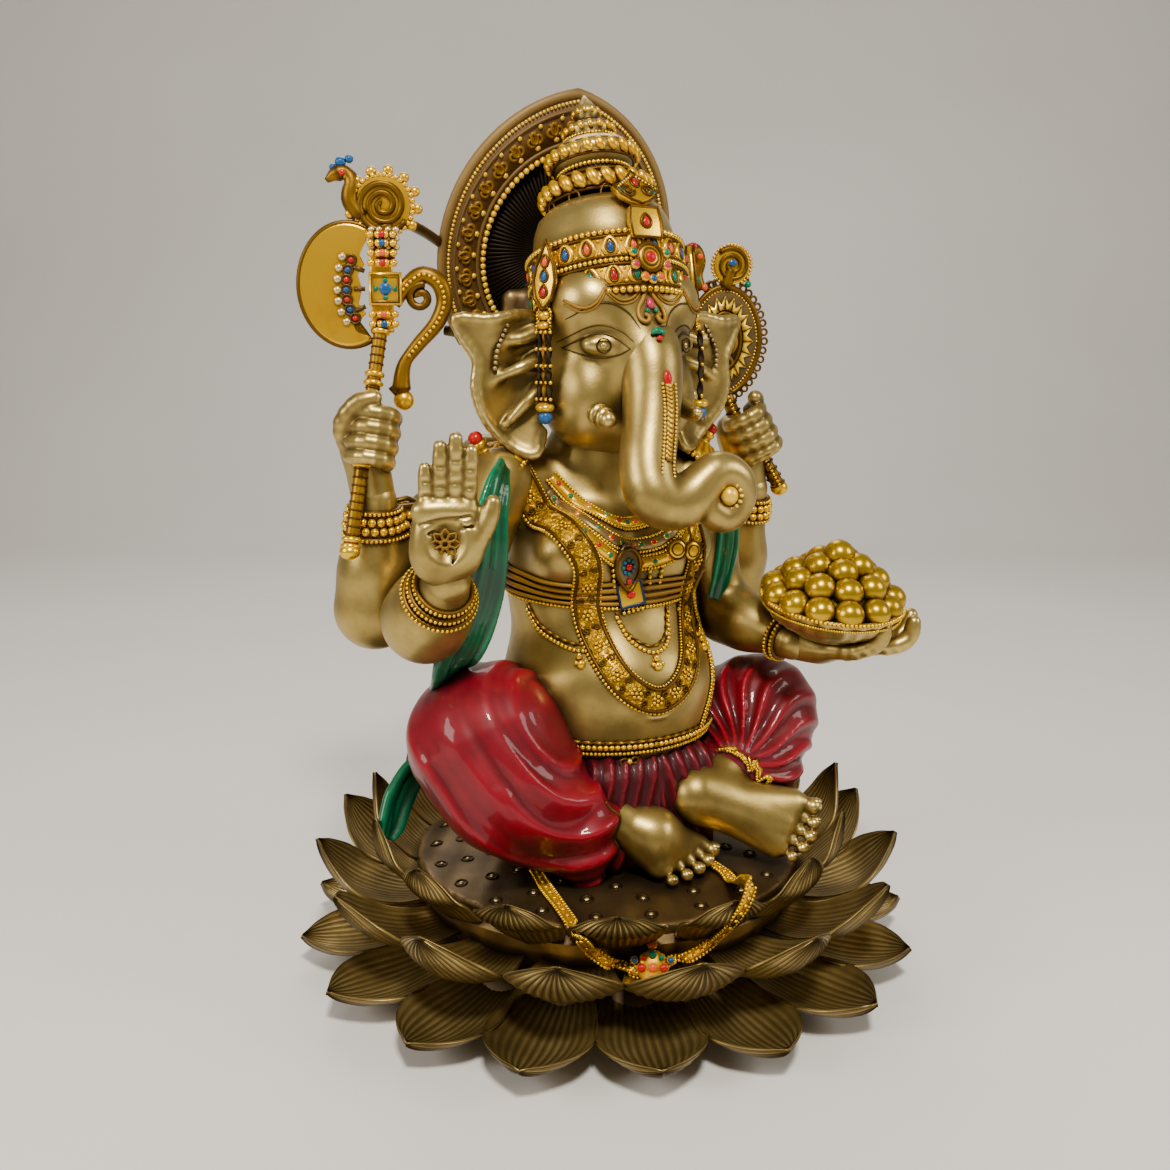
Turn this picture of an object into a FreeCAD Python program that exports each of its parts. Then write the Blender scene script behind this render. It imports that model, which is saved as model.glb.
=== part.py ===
"""Seated four-armed elephant-headed idol on a double lotus, as separately cast and joined pieces.

Units are millimetres.  The row frame has +Z up and the figure facing -Y, with its own right hand at -X.
The origin is the centre of the felt pad's underside.  Cast pieces meet face to face, and round pegs
carry each joint into a socket that is wider by the glue gap.
"""

import FreeCAD
import Part
import Sketcher
import os
from math import asin, cos, pi, radians, sin, sqrt
from FreeCAD import Placement, Rotation, Vector

DOC = FreeCAD.newDocument("SeatedIdol")
SHEET = DOC.addObject("Spreadsheet::Sheet", "Sizes")

SIZES = {
    # lotus base
    "pad_radius": 90, "pad_thickness": 2,
    "foot_radius": 94, "foot_height": 9, "waist_radius": 84, "waist_height": 24,
    "rim_radius": 93, "rim_height": 42, "edge_radius": 88, "edge_height": 48, "crest_radius": 40,
    "seat_height": 54,
    "petals_lower": 17, "petals_middle": 15, "petals_upper": 15, "petal_thickness": 3.2,
    # pegs
    "glue_gap": 0.15, "seat_peg_radius": 12, "neck_peg_radius": 10, "arm_peg_radius": 6,
    "wrist_peg_radius": 4, "small_peg_radius": 3, "seat_peg_length": 12, "peg_length": 12,
    # figure
    "belly_radius": 48, "chest_radius": 43, "head_radius": 33, "trunk_radius": 13,
    "finger_radius": 2.7, "thumb_radius": 3.1, "sweet_radius": 6.2, "gem_sweet_radius": 4.4,
    # crown
    "crown_tilt": 16, "band_radius": 33.5, "band_height": 25, "dome_height": 47, "tier_radius": 24.5,
    "tier_height": 56, "collar_radius": 16.5, "upper_tier_radius": 18.5, "upper_tier_height": 74,
    "finial_radius": 7.5, "finial_height": 89, "crown_height": 99,
    # halo
    "halo_half_width": 59, "halo_thickness": 7, "halo_recess": 4, "halo_border": 20,
    "halo_lean": 18,
    # bowl
    "bowl_radius": 33, "bowl_depth": 15, "bowl_foot_radius": 16, "bowl_wall": 2.2, "bowl_tilt": 10,
    # held objects
    "shaft_radius": 3, "blade_radius": 20.5, "blade_thickness": 4, "noose_radius": 16.5,
    "noose_rod": 2.2,
}


def fill_sheet():
    for row, (alias, value) in enumerate(SIZES.items(), start=1):
        SHEET.set(f"A{row}", alias)
        SHEET.set(f"B{row}", str(value))
        SHEET.setAlias(f"B{row}", alias)
    DOC.recompute()


def size(alias):
    return float(getattr(SHEET, alias))


# ---------------------------------------------------------------- landmarks of the figure

SHOULDER = {"front_right": Vector(-50, 8, 226), "rear_right": Vector(-50, 24, 230),
            "front_left": Vector(46, 8, 222), "rear_left": Vector(50, 24, 226)}
ELBOW = {"front_right": Vector(-95, -16, 173), "rear_right": Vector(-105, 22, 171),
         "front_left": Vector(62, -6, 158), "rear_left": Vector(86, 26, 160)}
WRIST = {"front_right": Vector(-95, -41, 192), "rear_right": Vector(-106, 15, 218),
         "front_left": Vector(72, -43, 151), "rear_left": Vector(87, 14, 212)}
HAND = {"front_right": Vector(-97, -47, 214), "rear_right": Vector(-111, 14, 244),
        "front_left": Vector(89, -52, 149), "rear_left": Vector(81, 14, 238)}
ARM_RADII = {"front_right": (16, 18, 10.5), "rear_right": (16, 17, 11),
             "front_left": (14, 14, 9.5), "rear_left": (14, 15, 10.5)}
CROWN_FOOT = Vector(0, -3, 300)
HALO_CENTRE = Vector(0, 57, 330)
BOWL_FOOT = Vector(86, -54, 156)


# ---------------------------------------------------------------- shape helpers

def capsule(start, end, start_radius, end_radius):
    """A tapered rod with a ball at each end, its cone tangent to both balls."""
    axis = end - start
    length = axis.Length
    lean = asin((start_radius - end_radius) / length)
    touch_start = Vector(start_radius * cos(lean), 0, start_radius * sin(lean))
    touch_end = Vector(end_radius * cos(lean), 0, length + end_radius * sin(lean))
    low, high = Vector(0, 0, -start_radius), Vector(0, 0, length + end_radius)
    half = (lean - pi / 2) / 2
    mid_start = Vector(start_radius * cos(half), 0, start_radius * sin(half))
    half = (lean + pi / 2) / 2
    mid_end = Vector(end_radius * cos(half), 0, length + end_radius * sin(half))
    edges = [Part.Arc(low, mid_start, touch_start).toShape(),
             Part.LineSegment(touch_start, touch_end).toShape(),
             Part.Arc(touch_end, mid_end, high).toShape(),
             Part.LineSegment(high, low).toShape()]
    solid = Part.Face(Part.Wire(edges)).revolve(Vector(), Vector(0, 0, 1), 360)
    solid.Placement = Placement(start, Rotation(Vector(0, 0, 1), axis))
    return solid


def ball(centre, radius):
    return Part.makeSphere(radius, centre)


def oval(centre, across, side, rx, ry, points=12):
    """A closed smooth ring about centre, rx along across and ry along side."""
    ring = [centre + across * (rx * cos(2 * pi * k / points)) + side * (ry * sin(2 * pi * k / points))
            for k in range(points)]
    curve = Part.BSplineCurve()
    curve.interpolate(ring, PeriodicFlag=True)
    return Part.Wire([curve.toShape()])


def stack(levels):
    """A smooth solid through level ovals, each (x, y, z, rx, ry)."""
    east, north = Vector(1, 0, 0), Vector(0, 1, 0)
    rings = [oval(Vector(x, y, z), east, north, rx, ry) for x, y, z, rx, ry in levels]
    return Part.makeLoft(rings, True)


def limb(path, side=Vector(1, 0, 0)):
    """A smooth solid along path, whose entries are (point, width radius along side, thickness radius)."""
    rings = []
    for k, (point, rx, ry) in enumerate(path):
        before, after = path[max(k - 1, 0)][0], path[min(k + 1, len(path) - 1)][0]
        along = (after - before).normalize()
        across = (side - along * side.dot(along)).normalize()
        rings.append(oval(point, across, along.cross(across), rx, ry))
    return Part.makeLoft(rings, True)


def joined(*shapes):
    result = shapes[0].multiFuse(list(shapes[1:])) if len(shapes) > 1 else shapes[0]
    plain = result.removeSplitter()
    return plain if plain.isValid() else result


def without(shape, *others):
    for other in others:
        if shape.BoundBox.intersect(other.BoundBox):
            shape = shape.cut(other)
    return largest(shape)


def largest(shape):
    """The biggest solid of a cut, which leaves out slivers on the far side of a neighbour."""
    return max(shape.Solids, key=lambda solid: solid.Volume)


def peg_joint(shapes, owner, host, centre, direction, radius, length, root=6):
    """A round peg on owner that enters a socket in host."""
    gap = size("glue_gap")
    along = Vector(direction).normalize()
    socket = Part.makeCylinder(radius + gap, length + gap + root, centre - along * root, along)
    peg = Part.makeCylinder(radius, length + root, centre - along * root, along)
    shapes[host] = largest(shapes[host].cut(socket))
    shapes[owner] = largest(shapes[owner].fuse(peg.cut(shapes[host])))


# ---------------------------------------------------------------- document helpers

def origin_part(body, role):
    return next(item for item in body.Origin.OriginFeatures if item.Role == role)


def new_body(name):
    body = DOC.addObject("PartDesign::Body", name)
    body.Label = name
    return body


def outline_sketch(body, name, plane, corners):
    """A closed outline of straight lines.  A corner is a pair of expressions, each a size or 0."""
    sketch = body.newObject("Sketcher::SketchObject", name)
    sketch.AttachmentSupport = [(origin_part(body, plane), "")]
    sketch.MapMode = "FlatFace"
    values = [tuple(evaluated(text) for text in corner) for corner in corners]
    count = len(values)
    for k, (x, y) in enumerate(values):
        x_next, y_next = values[(k + 1) % count]
        sketch.addGeometry(Part.LineSegment(Vector(x, y, 0), Vector(x_next, y_next, 0)), False)
    for k in range(count):
        sketch.addConstraint(Sketcher.Constraint("Coincident", k, 2, (k + 1) % count, 1))
    for k, (corner, value) in enumerate(zip(corners, values)):
        for kind, text, number, axis in zip(("DistanceX", "DistanceY"), corner, value, (-2, -1)):
            if number == 0:
                sketch.addConstraint(Sketcher.Constraint("PointOnObject", k, 1, axis))
            else:
                ends = (-1, 1, k, 1) if number > 0 else (k, 1, -1, 1)
                index = sketch.addConstraint(Sketcher.Constraint(kind, *ends, abs(number)))
                sketch.setExpression(f"Constraints[{index}]", text if number > 0 else f"-({text})")
    return sketch


def evaluated(text):
    """The number that an expression of sheet sizes stands for."""
    names = sorted(SIZES, key=len, reverse=True)
    total = 0.0
    for term in text.replace("-", "+-").split("+"):
        if not term.strip():
            continue
        sign, word = (-1, term.strip()[1:]) if term.strip().startswith("-") else (1, term.strip())
        word = word.strip().replace("Sizes.", "")
        total += sign * (size(word) if word in names else float(word))
    return total


def spun_body(name, corners):
    """A solid of revolution about the body's own Z axis."""
    body = new_body(name)
    sketch = outline_sketch(body, name + "_outline", "XZ_Plane", corners)
    spin = body.newObject("PartDesign::Revolution", name + "_turn")
    spin.Profile = sketch
    spin.ReferenceAxis = (sketch, ["V_Axis"])
    spin.Angle = 360
    DOC.recompute()
    return body


def feature(name, shape):
    """A sub-part whose free shape no sketch or primitive describes."""
    item = DOC.addObject("Part::Feature", name)
    item.Label = name
    item.Shape = shape
    return item


# ---------------------------------------------------------------- lotus base

def felt_pad():
    pad = DOC.addObject("Part::Cylinder", "felt_pad")
    pad.Label = "felt_pad"
    pad.setExpression("Radius", "Sizes.pad_radius")
    pad.setExpression("Height", "Sizes.pad_thickness")
    return pad


def lotus_core():
    socket = "Sizes.seat_peg_radius+Sizes.glue_gap"
    return spun_body("lotus_core", [
        ("0", "Sizes.pad_thickness"), ("Sizes.foot_radius", "Sizes.pad_thickness"),
        ("Sizes.foot_radius", "Sizes.foot_height"), ("Sizes.waist_radius", "Sizes.waist_height"),
        ("Sizes.rim_radius", "Sizes.rim_height"), ("Sizes.edge_radius", "Sizes.edge_height"),
        ("Sizes.crest_radius", "Sizes.seat_height"), (socket, "Sizes.seat_height"),
        (socket, "Sizes.seat_height-Sizes.seat_peg_length-Sizes.glue_gap"),
        ("0", "Sizes.seat_height-Sizes.seat_peg_length-Sizes.glue_gap")])


def petal(profile, angle):
    """One petal.  Profile entries are (distance from the axis, z, half width, half thickness)."""
    outward = Vector(sin(radians(angle)), -cos(radians(angle)), 0)
    sideways = Vector(cos(radians(angle)), sin(radians(angle)), 0)
    path = [(outward * rho + Vector(0, 0, z), width, thick) for rho, z, width, thick in profile]
    return limb(path, sideways)


def petal_ring(name, count, profile, first_angle, band, core):
    """A ring of petals grown from one band that is glued around the core."""
    low, high, inner, outer = band
    collar = Part.makeCylinder(outer, high - low, Vector(0, 0, low))
    collar = collar.cut(Part.makeCylinder(inner, high - low, Vector(0, 0, low)))
    petals = [petal(profile, first_angle + 360 * k / count) for k in range(count)]
    return joined(collar, *petals).cut(core)


def lotus_petals(core):
    half = size("petal_thickness") / 2
    lower = [(84, 14, 9, 3), (100, 12, 18, half + 1), (118, 11.5, 23, half + 0.5), (133, 13.5, 19, half),
             (142, 16.5, 9, 1.2), (145.5, 18.5, 2.5, 0.8)]
    middle = [(86, 30, 8, 3), (104, 30, 17, half + 1), (121, 36, 22, half + 0.5), (132, 46, 19, half),
              (138, 56, 9, 1.2), (139.5, 61, 2.5, 0.8)]
    upper = [(85, 42, 7, 3), (95, 44, 14, half + 0.5), (105, 53, 18, half), (111, 64, 15, half),
             (113, 74, 7, 1.2), (113, 79, 2, 0.8)]
    rings = {
        "lotus_petals_lower": petal_ring("lower", int(size("petals_lower")), lower, 23, (8, 19, 78, 98), core),
        "lotus_petals_middle": petal_ring("middle", int(size("petals_middle")), middle, 35, (24, 33, 78, 96), core),
        "lotus_petals_upper": petal_ring("upper", int(size("petals_upper")), upper, 47, (36.5, 45, 78, 97), core),
    }
    rings["lotus_petals_middle"] = largest(rings["lotus_petals_middle"].cut(rings["lotus_petals_lower"]))
    rings["lotus_petals_upper"] = largest(rings["lotus_petals_upper"].cut(rings["lotus_petals_middle"]))
    return rings


# ---------------------------------------------------------------- figure

def torso():
    belly, chest = size("belly_radius"), size("chest_radius")
    shape = stack([(0, 2, 50, 44, 38), (0, 1, 66, belly + 3, 44), (0, 0, 92, belly + 4, belly - 1),
                   (0, 0, 124, belly + 2, belly + 1), (-1, 1, 150, belly, belly - 3),
                   (-2, 4, 176, chest + 3, chest - 5), (-1, 9, 204, chest + 4, chest - 11),
                   (0, 13, 224, chest + 3, 25), (0, 14, 236, 33, 19), (0, 14, 240, 22, 15)])
    return shape


def leg(hip, knee, shin, ankle):
    return joined(capsule(hip, knee, 31, 34), capsule(knee, shin, 30, 23), capsule(shin, ankle, 22, 15))


def right_leg():
    shape = leg(Vector(-26, 0, 100), Vector(-70, -14, 116), Vector(-52, -34, 92), Vector(-24, -42, 78))
    hem = limb([(Vector(-34, -38, 84), 15, 8), (Vector(-30, -42, 70), 14, 7), (Vector(-24, -42, 57), 6, 3)])
    return joined(shape, hem)


def left_leg():
    hip, knee = Vector(34, 0, 94), Vector(78, -12, 106)
    thigh = capsule(hip, knee, 28, 28)
    return joined(thigh, capsule(knee, Vector(52, -32, 88), 26, 19))


def foot(ankle, ankle_radius, toes, toe_radii):
    """A foot that tapers from the ankle to the ball, with five toes in front."""
    joints = [Vector(*start) for start, tip in toes]
    middle = (joints[0] + joints[4]) * 0.5
    inward = (ankle - middle).normalize()
    body = capsule(ankle, middle + inward * 2, ankle_radius, ankle_radius - 2)
    digits = [capsule(Vector(*start) + inward * 3, Vector(*tip), radius + 1.1, radius)
              for (start, tip), radius in zip(toes, toe_radii)]
    return joined(body, *digits)


def right_foot():
    fan = [((20, -46, 61), (27, -50, 58.5)), ((15, -51, 60), (20, -58, 58)), ((9, -54, 60), (13, -62, 57.5)),
           ((3, -56, 60), (5, -65, 57.5)), ((-3, -57, 60), (-3, -66, 57))]
    return foot(Vector(-22, -37, 82), 10.5, fan, (4.2, 3.4, 3.2, 3, 2.8))


def left_foot():
    fan = [((70, -54, 74), (76, -60, 74)), ((67, -57, 69), (73, -64, 68)), ((64, -59, 65), (69, -67, 63.5)),
           ((60, -61, 62), (64, -68, 59.5)), ((55, -61, 59.5), (58, -68, 57.5))]
    return foot(Vector(24, -42, 84), 10.5, fan, (4.2, 3.4, 3.2, 3, 2.8))


def front_pleats():
    return limb([(Vector(2, -45, 100), 20, 5), (Vector(2, -50, 84), 22, 7), (Vector(0, -50, 68), 18, 7),
                 (Vector(0, -48, 57), 14, 5)])


def head():
    radius = size("head_radius")
    return stack([(0, 10, 236, 22, 18), (0, 5, 244, 28, 25), (0, 2, 258, radius, 30), (0, 1, 274, radius, 31),
                  (0, 0, 290, radius + 2, 31), (0, 1, 306, radius + 1, 31), (0, 4, 318, radius - 6, 25)])


def trunk():
    base = size("trunk_radius")
    stations = [((4, -18, 292), 15, 13), ((3, -30, 286), 14, 12), ((1, -37, 269), base, 12.5),
                ((-5, -43, 251), base, 12.5), ((-10, -49, 236), base - 0.5, 12), ((-9, -54, 223), 11.5, 11),
                ((2, -57, 219), 10, 10), ((10, -57, 224), 8, 8)]
    path = [(Vector(*point), rx, ry) for point, rx, ry in stations]
    curl = Part.makeTorus(7, 4.7, Vector(20, -59, 224), Vector(-0.35, -0.93, 0.1))
    return joined(limb(path, Vector(1, -0.2, 0.3)), curl)


def above_crown_foot():
    """The space that the crown takes, from its foot upwards."""
    block = Part.makeCylinder(2 * size("band_radius"), size("crown_height"))
    block.Placement = crown_placement()
    return block


def ear(sign):
    stations = [((28, 2, 272), 20, 4), ((42, 0, 268), 31, 3.6), ((54, 4, 272), 25, 3.2),
                ((64, 7, 284), 13, 2.8), ((71, 8, 295), 4, 1.8)]
    path = [(Vector(sign * x, y, z), rx, ry) for (x, y, z), rx, ry in stations]
    return limb(path, Vector(0, 0, 1))


def tusk(start, tip):
    return capsule(Vector(*start), Vector(*tip), 4.4, 3.4)


def arm(name):
    upper, elbow, lower = ARM_RADII[name]
    wrist = WRIST[name]
    bend = ELBOW[name]
    return joined(capsule(SHOULDER[name], bend, upper, elbow), capsule(bend, wrist, elbow - 0.3, lower))


def raised_hand():
    across, up = Vector(0.966, -0.259, 0), Vector(0, -0.08, 1)
    wrist, palm = WRIST["front_right"], HAND["front_right"]
    path = [(wrist + Vector(0, -1, 2), 9, 8), (wrist + Vector(0, -3, 11), 14, 8), (palm, 15.5, 7),
            (palm + up * 9, 14.5, 5.5)]
    finger = size("finger_radius")
    digits = []
    for offset, length in ((9.5, 28), (3.4, 33), (-2.7, 30), (-8.6, 21)):
        base = palm + across * offset + up * 6
        tip = palm + across * (offset * 1.12) + up * (4 + length)
        digits.append(capsule(base, tip, finger + 0.5, finger))
    thumb_base, thumb_tip = palm + across * 10 - up * 8, palm + across * 18 + up * 9
    digits.append(capsule(thumb_base, thumb_tip, size("thumb_radius") + 1.4, size("thumb_radius")))
    return joined(limb(path, across), *digits)


def fist(name, rod_start, rod_end):
    """A hand closed around a rod, with four fingers stacked along it."""
    palm, wrist = HAND[name], WRIST[name]
    rod = (rod_end - rod_start).normalize()
    outward = rod.cross(palm - wrist).normalize()
    shape = [capsule(wrist + Vector(0, 0, 3), palm, 9.5, 12)]
    finger = size("finger_radius") + 0.6
    for k in range(4):
        seat = palm + Vector(0, -4, 8 - 5.2 * k)
        front = seat + Vector(0, -9, 0)
        shape.append(capsule(seat + outward * 6, front - outward * 2, finger + 0.4, finger))
    shape.append(capsule(palm + Vector(0, -3, 0), palm + Vector(4, -10, 13), 4, size("thumb_radius")))
    return joined(*shape)


def bowl_hand():
    palm, wrist = HAND["front_left"], WRIST["front_left"]
    path = [(wrist + Vector(2, -2, 0), 9, 8), (palm + Vector(-6, 0, 0), 13, 6), (palm + Vector(8, -2, -1), 15, 5)]
    shape = [limb(path, Vector(0, 1, 0))]
    finger = size("finger_radius") + 0.3
    for k in range(4):
        start = palm + Vector(8, -14 + 8 * k, 0)
        tip = palm + Vector(33 - 3 * abs(k - 1), -19 + 10 * k, 13)
        shape.append(capsule(start, tip, finger + 0.6, finger))
    shape.append(capsule(palm + Vector(-4, -8, 0), palm + Vector(2, -26, 6), 4.2, size("thumb_radius")))
    return joined(*shape)


# ---------------------------------------------------------------- crown and halo

def crown_placement():
    return Placement(CROWN_FOOT, Rotation(Vector(1, 0, 0), -size("crown_tilt")))


def crown_band():
    socket = "Sizes.neck_peg_radius+Sizes.glue_gap"
    body = spun_body("crown_band", [
        (socket, "0"), ("Sizes.band_radius", "0"), ("Sizes.band_radius", "Sizes.band_height"),
        ("0", "Sizes.band_height"), ("0", "Sizes.peg_length+Sizes.glue_gap"),
        (socket, "Sizes.peg_length+Sizes.glue_gap")])
    body.Placement = crown_placement()
    return body


def crown_dome():
    body = spun_body("crown_dome", [
        ("0", "Sizes.band_height"), ("Sizes.band_radius-2", "Sizes.band_height"),
        ("Sizes.band_radius-2", "Sizes.band_height+8"), ("Sizes.tier_radius+4", "Sizes.dome_height-4"),
        ("Sizes.collar_radius+2", "Sizes.dome_height"), ("0", "Sizes.dome_height")])
    body.Placement = crown_placement()
    return body


def crown_tiers():
    body = spun_body("crown_tiers", [
        ("0", "Sizes.dome_height"), ("Sizes.collar_radius", "Sizes.dome_height"),
        ("Sizes.tier_radius", "Sizes.dome_height+3"), ("Sizes.tier_radius", "Sizes.tier_height"),
        ("Sizes.collar_radius", "Sizes.tier_height+3"), ("Sizes.collar_radius", "Sizes.tier_height+8"),
        ("Sizes.upper_tier_radius", "Sizes.tier_height+11"), ("Sizes.upper_tier_radius", "Sizes.upper_tier_height"),
        ("Sizes.finial_radius+2", "Sizes.upper_tier_height+5"), ("0", "Sizes.upper_tier_height+5")])
    body.Placement = crown_placement()
    return body


def crown_finial():
    body = spun_body("crown_finial", [
        ("0", "Sizes.upper_tier_height+5"), ("Sizes.finial_radius", "Sizes.upper_tier_height+5"),
        ("Sizes.finial_radius", "Sizes.finial_height"), ("Sizes.finial_radius-2", "Sizes.finial_height+2"),
        ("1", "Sizes.crown_height"), ("0", "Sizes.crown_height")])
    body.Placement = crown_placement()
    return body


def crown_crest():
    """The pointed plate that stands on the front of the band."""
    where = crown_placement()
    front = size("band_radius") + 2
    path = [(Vector(0, -front, 6), 9, 2.5), (Vector(0, -front - 1, 18), 8, 2.8),
            (Vector(0, -front + 2, 32), 12, 2.6), (Vector(0, -front + 8, 44), 7, 2.4),
            (Vector(0, -front + 12, 52), 2.5, 1.5)]
    return limb([(where.multVec(point), rx, ry) for point, rx, ry in path])


def arch(name, half_width, thickness, lift):
    """A pointed arch, the overlap of two equal cylinders set apart from each other."""
    lobes = []
    for sign in (-1, 1):
        lobe = DOC.addObject("Part::Cylinder", f"{name}_lobe")
        lobe.setExpression("Radius", f"({half_width}) * 1.265")
        lobe.setExpression("Height", thickness)
        lobe.setExpression("Placement.Base.x", f"{sign} * ({half_width}) * 0.265")
        lobe.setExpression("Placement.Base.z", lift)
        lobes.append(lobe)
    common = DOC.addObject("Part::Common", name)
    common.Base, common.Tool = lobes
    return common


def halo():
    plate = arch("halo_plate", "Sizes.halo_half_width", "Sizes.halo_thickness", "0")
    recess = arch("halo_dish", "Sizes.halo_half_width - Sizes.halo_border", "Sizes.halo_thickness",
                  "Sizes.halo_recess")
    dished = DOC.addObject("Part::Cut", "halo_dished")
    dished.Base, dished.Tool = plate, recess
    below = DOC.addObject("Part::Box", "halo_below")
    below.setExpression("Length", "Sizes.halo_half_width * 3")
    below.setExpression("Width", "Sizes.halo_half_width * 2")
    below.setExpression("Height", "Sizes.halo_thickness * 2")
    below.setExpression("Placement.Base.x", "-Sizes.halo_half_width * 1.5")
    below.setExpression("Placement.Base.y", "-Sizes.halo_half_width * 2.76")
    below.setExpression("Placement.Base.z", "-Sizes.halo_thickness / 2")
    plaque = DOC.addObject("Part::Cut", "halo")
    plaque.Label = "halo"
    plaque.Base, plaque.Tool = dished, below
    lean = Rotation(Vector(1, 0, 0), 90 + size("halo_lean"))
    plaque.Placement = Placement(HALO_CENTRE, lean)
    return plaque


def halo_bracket():
    """The web behind the head that carries the halo."""
    return capsule(Vector(0, 18, 298), Vector(0, 66, 302), 12, 15)


# ---------------------------------------------------------------- bowl and sweets

def bowl():
    body = spun_body("bowl", [
        ("0", "0"), ("Sizes.bowl_foot_radius", "0"), ("Sizes.bowl_radius-5", "6"),
        ("Sizes.bowl_radius", "Sizes.bowl_depth"), ("Sizes.bowl_radius-Sizes.bowl_wall", "Sizes.bowl_depth"),
        ("Sizes.bowl_radius-Sizes.bowl_wall-5", "6+Sizes.bowl_wall"),
        ("Sizes.bowl_foot_radius-Sizes.bowl_wall", "Sizes.bowl_wall"), ("0", "Sizes.bowl_wall")])
    body.Placement = Placement(BOWL_FOOT, Rotation(Vector(1, 0, 0), size("bowl_tilt")))
    return body


def sweets(bowl_shape):
    """The heap of round sweets, cast as one lump that fills the bowl."""
    radius = size("sweet_radius")
    where = Placement(BOWL_FOOT, Rotation(Vector(1, 0, 0), size("bowl_tilt")))
    layers = [(11, 26, 17.5), (7, 17.5, 24.5), (3, 8, 31), (1, 0, 36)]
    fill = Part.makeCone(18, 29, 13, Vector(0, 0, 4))
    heap = [fill, Part.makeCone(28, 8, 15, Vector(0, 0, 17))]
    for count, ring, height in layers:
        for k in range(count):
            angle = 2 * pi * (k + 0.5 * (height > 20)) / count
            heap.append(ball(Vector(ring * cos(angle), ring * sin(angle), height), radius))
    lump = joined(*heap)
    lump.Placement = where
    return lump.cut(bowl_shape)


# ---------------------------------------------------------------- held objects

SHAFT_LOW, SHAFT_HIGH = Vector(-121, 2, 203), Vector(-99, 18, 296)


def axe_shaft():
    return capsule(SHAFT_LOW, SHAFT_HIGH, size("shaft_radius") + 0.6, size("shaft_radius"))


def axe_blade():
    radius, thick = size("blade_radius"), size("blade_thickness")
    facing = Vector(-0.35, -0.93, 0)
    disc = Part.makeCylinder(radius, thick, Vector(-112, 20, 309), facing)
    bite = Part.makeCylinder(radius * 0.55, thick * 3, Vector(-97, 24, 309) - facing * 2, facing)
    plaque = Part.makeBox(11, 8, 40, Vector(-103, 13, 291))
    along = (SHAFT_HIGH - SHAFT_LOW).normalize()
    bore = size("shaft_radius") + 0.1 + size("glue_gap")
    socket = Part.makeCylinder(bore, 18, SHAFT_HIGH - along * 14, along)
    return joined(disc.cut(bite), plaque).cut(socket)


def axe_finial():
    facing = Vector(-0.35, -0.93, 0)
    scroll = Part.makeCylinder(13, 5, Vector(-97, 20, 343), facing)
    beak = capsule(Vector(-106, 17, 350), Vector(-114, 16, 352), 4, 2.5)
    neck = capsule(Vector(-97, 18, 329), Vector(-97, 18, 338), 4.5, 4.5)
    return joined(scroll, beak, neck)


def axe_hook():
    points = [(-94, 17, 292), (-88, 17, 301), (-80, 17, 305), (-73, 17, 301), (-71, 17, 293), (-74, 17, 284),
              (-81, 17, 275), (-87, 17, 266)]
    radii = (3, 3.3, 3.5, 3.7, 3.7, 3.5, 3.4, 4.2)
    return limb([(Vector(*point), radius, radius) for point, radius in zip(points, radii)], Vector(0, 1, 0))


def noose_ring():
    facing = Vector(-0.35, -0.93, 0)
    ring = Part.makeTorus(size("noose_radius"), size("noose_rod") + 1.6, Vector(), Vector(0, 0, 1))
    plate = Part.makeCylinder(size("noose_radius"), 3, Vector(0, 0, -1.5))
    boss = Part.makeSphere(6, Vector(0, 0, 1))
    disc = joined(ring, plate, boss)
    matrix = FreeCAD.Matrix()
    matrix.scale(1, 1.45, 1)
    disc = disc.transformGeometry(matrix)
    turned = Rotation(Vector(1, 0, 0), Vector(0.93, -0.35, 0), facing, "ZXY")
    disc.Placement = Placement(Vector(75, 21, 287), turned)
    return disc


def noose_finial():
    facing = Vector(-0.35, -0.93, 0)
    scroll = Part.makeCylinder(8, 5, Vector(81, 22, 322), facing)
    head_part = capsule(Vector(72, 20, 320), Vector(63, 19, 326), 4.5, 3.5)
    stem = capsule(Vector(77, 20, 316), Vector(79, 20, 322), 4, 5)
    return joined(scroll, head_part, stem)


def noose_handle():
    return joined(capsule(Vector(76, 20, 262), Vector(84, 12, 243), 4, 3.4),
                  capsule(Vector(84, 12, 243), Vector(101, 9, 217), 3.4, 4))


# ---------------------------------------------------------------- cloth and ornaments

def right_shawl():
    stations = [((-54, -12, 240), 7, 4), ((-64, -22, 231), 8, 5), ((-69, -26, 214), 10, 6), ((-72, -27, 196), 10, 6),
                ((-75, -26, 180), 10, 6), ((-79, -22, 164), 9, 6), ((-82, -16, 150), 8, 5)]
    return limb([(Vector(*point), rx, ry) for point, rx, ry in stations])


def shawl_tail():
    stations = [((-86, 24, 92), 9, 4), ((-92, 26, 80), 10, 5), ((-96, 24, 70), 8, 4), ((-99, 22, 64), 4, 2)]
    return limb([(Vector(*point), rx, ry) for point, rx, ry in stations])


def left_shawl():
    stations = [((46, -14, 226), 5, 3.5), ((53, -14, 208), 6, 4), ((54, -12, 190), 6, 4), ((52, -12, 172), 4, 3)]
    return limb([(Vector(*point), rx, ry) for point, rx, ry in stations])


def epaulette(sign):
    cap = Part.makeSphere(17)
    matrix = FreeCAD.Matrix()
    matrix.scale(1.05, 1, 0.5)
    cap = cap.transformGeometry(matrix)
    cap.Placement = Placement(Vector(sign * 52, 14, 233), Rotation(Vector(0, 1, 0), sign * 24))
    tip = capsule(Vector(sign * 60, 14, 236), Vector(sign * 68, 14, 247), 5, 3)
    return joined(cap, tip)


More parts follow.
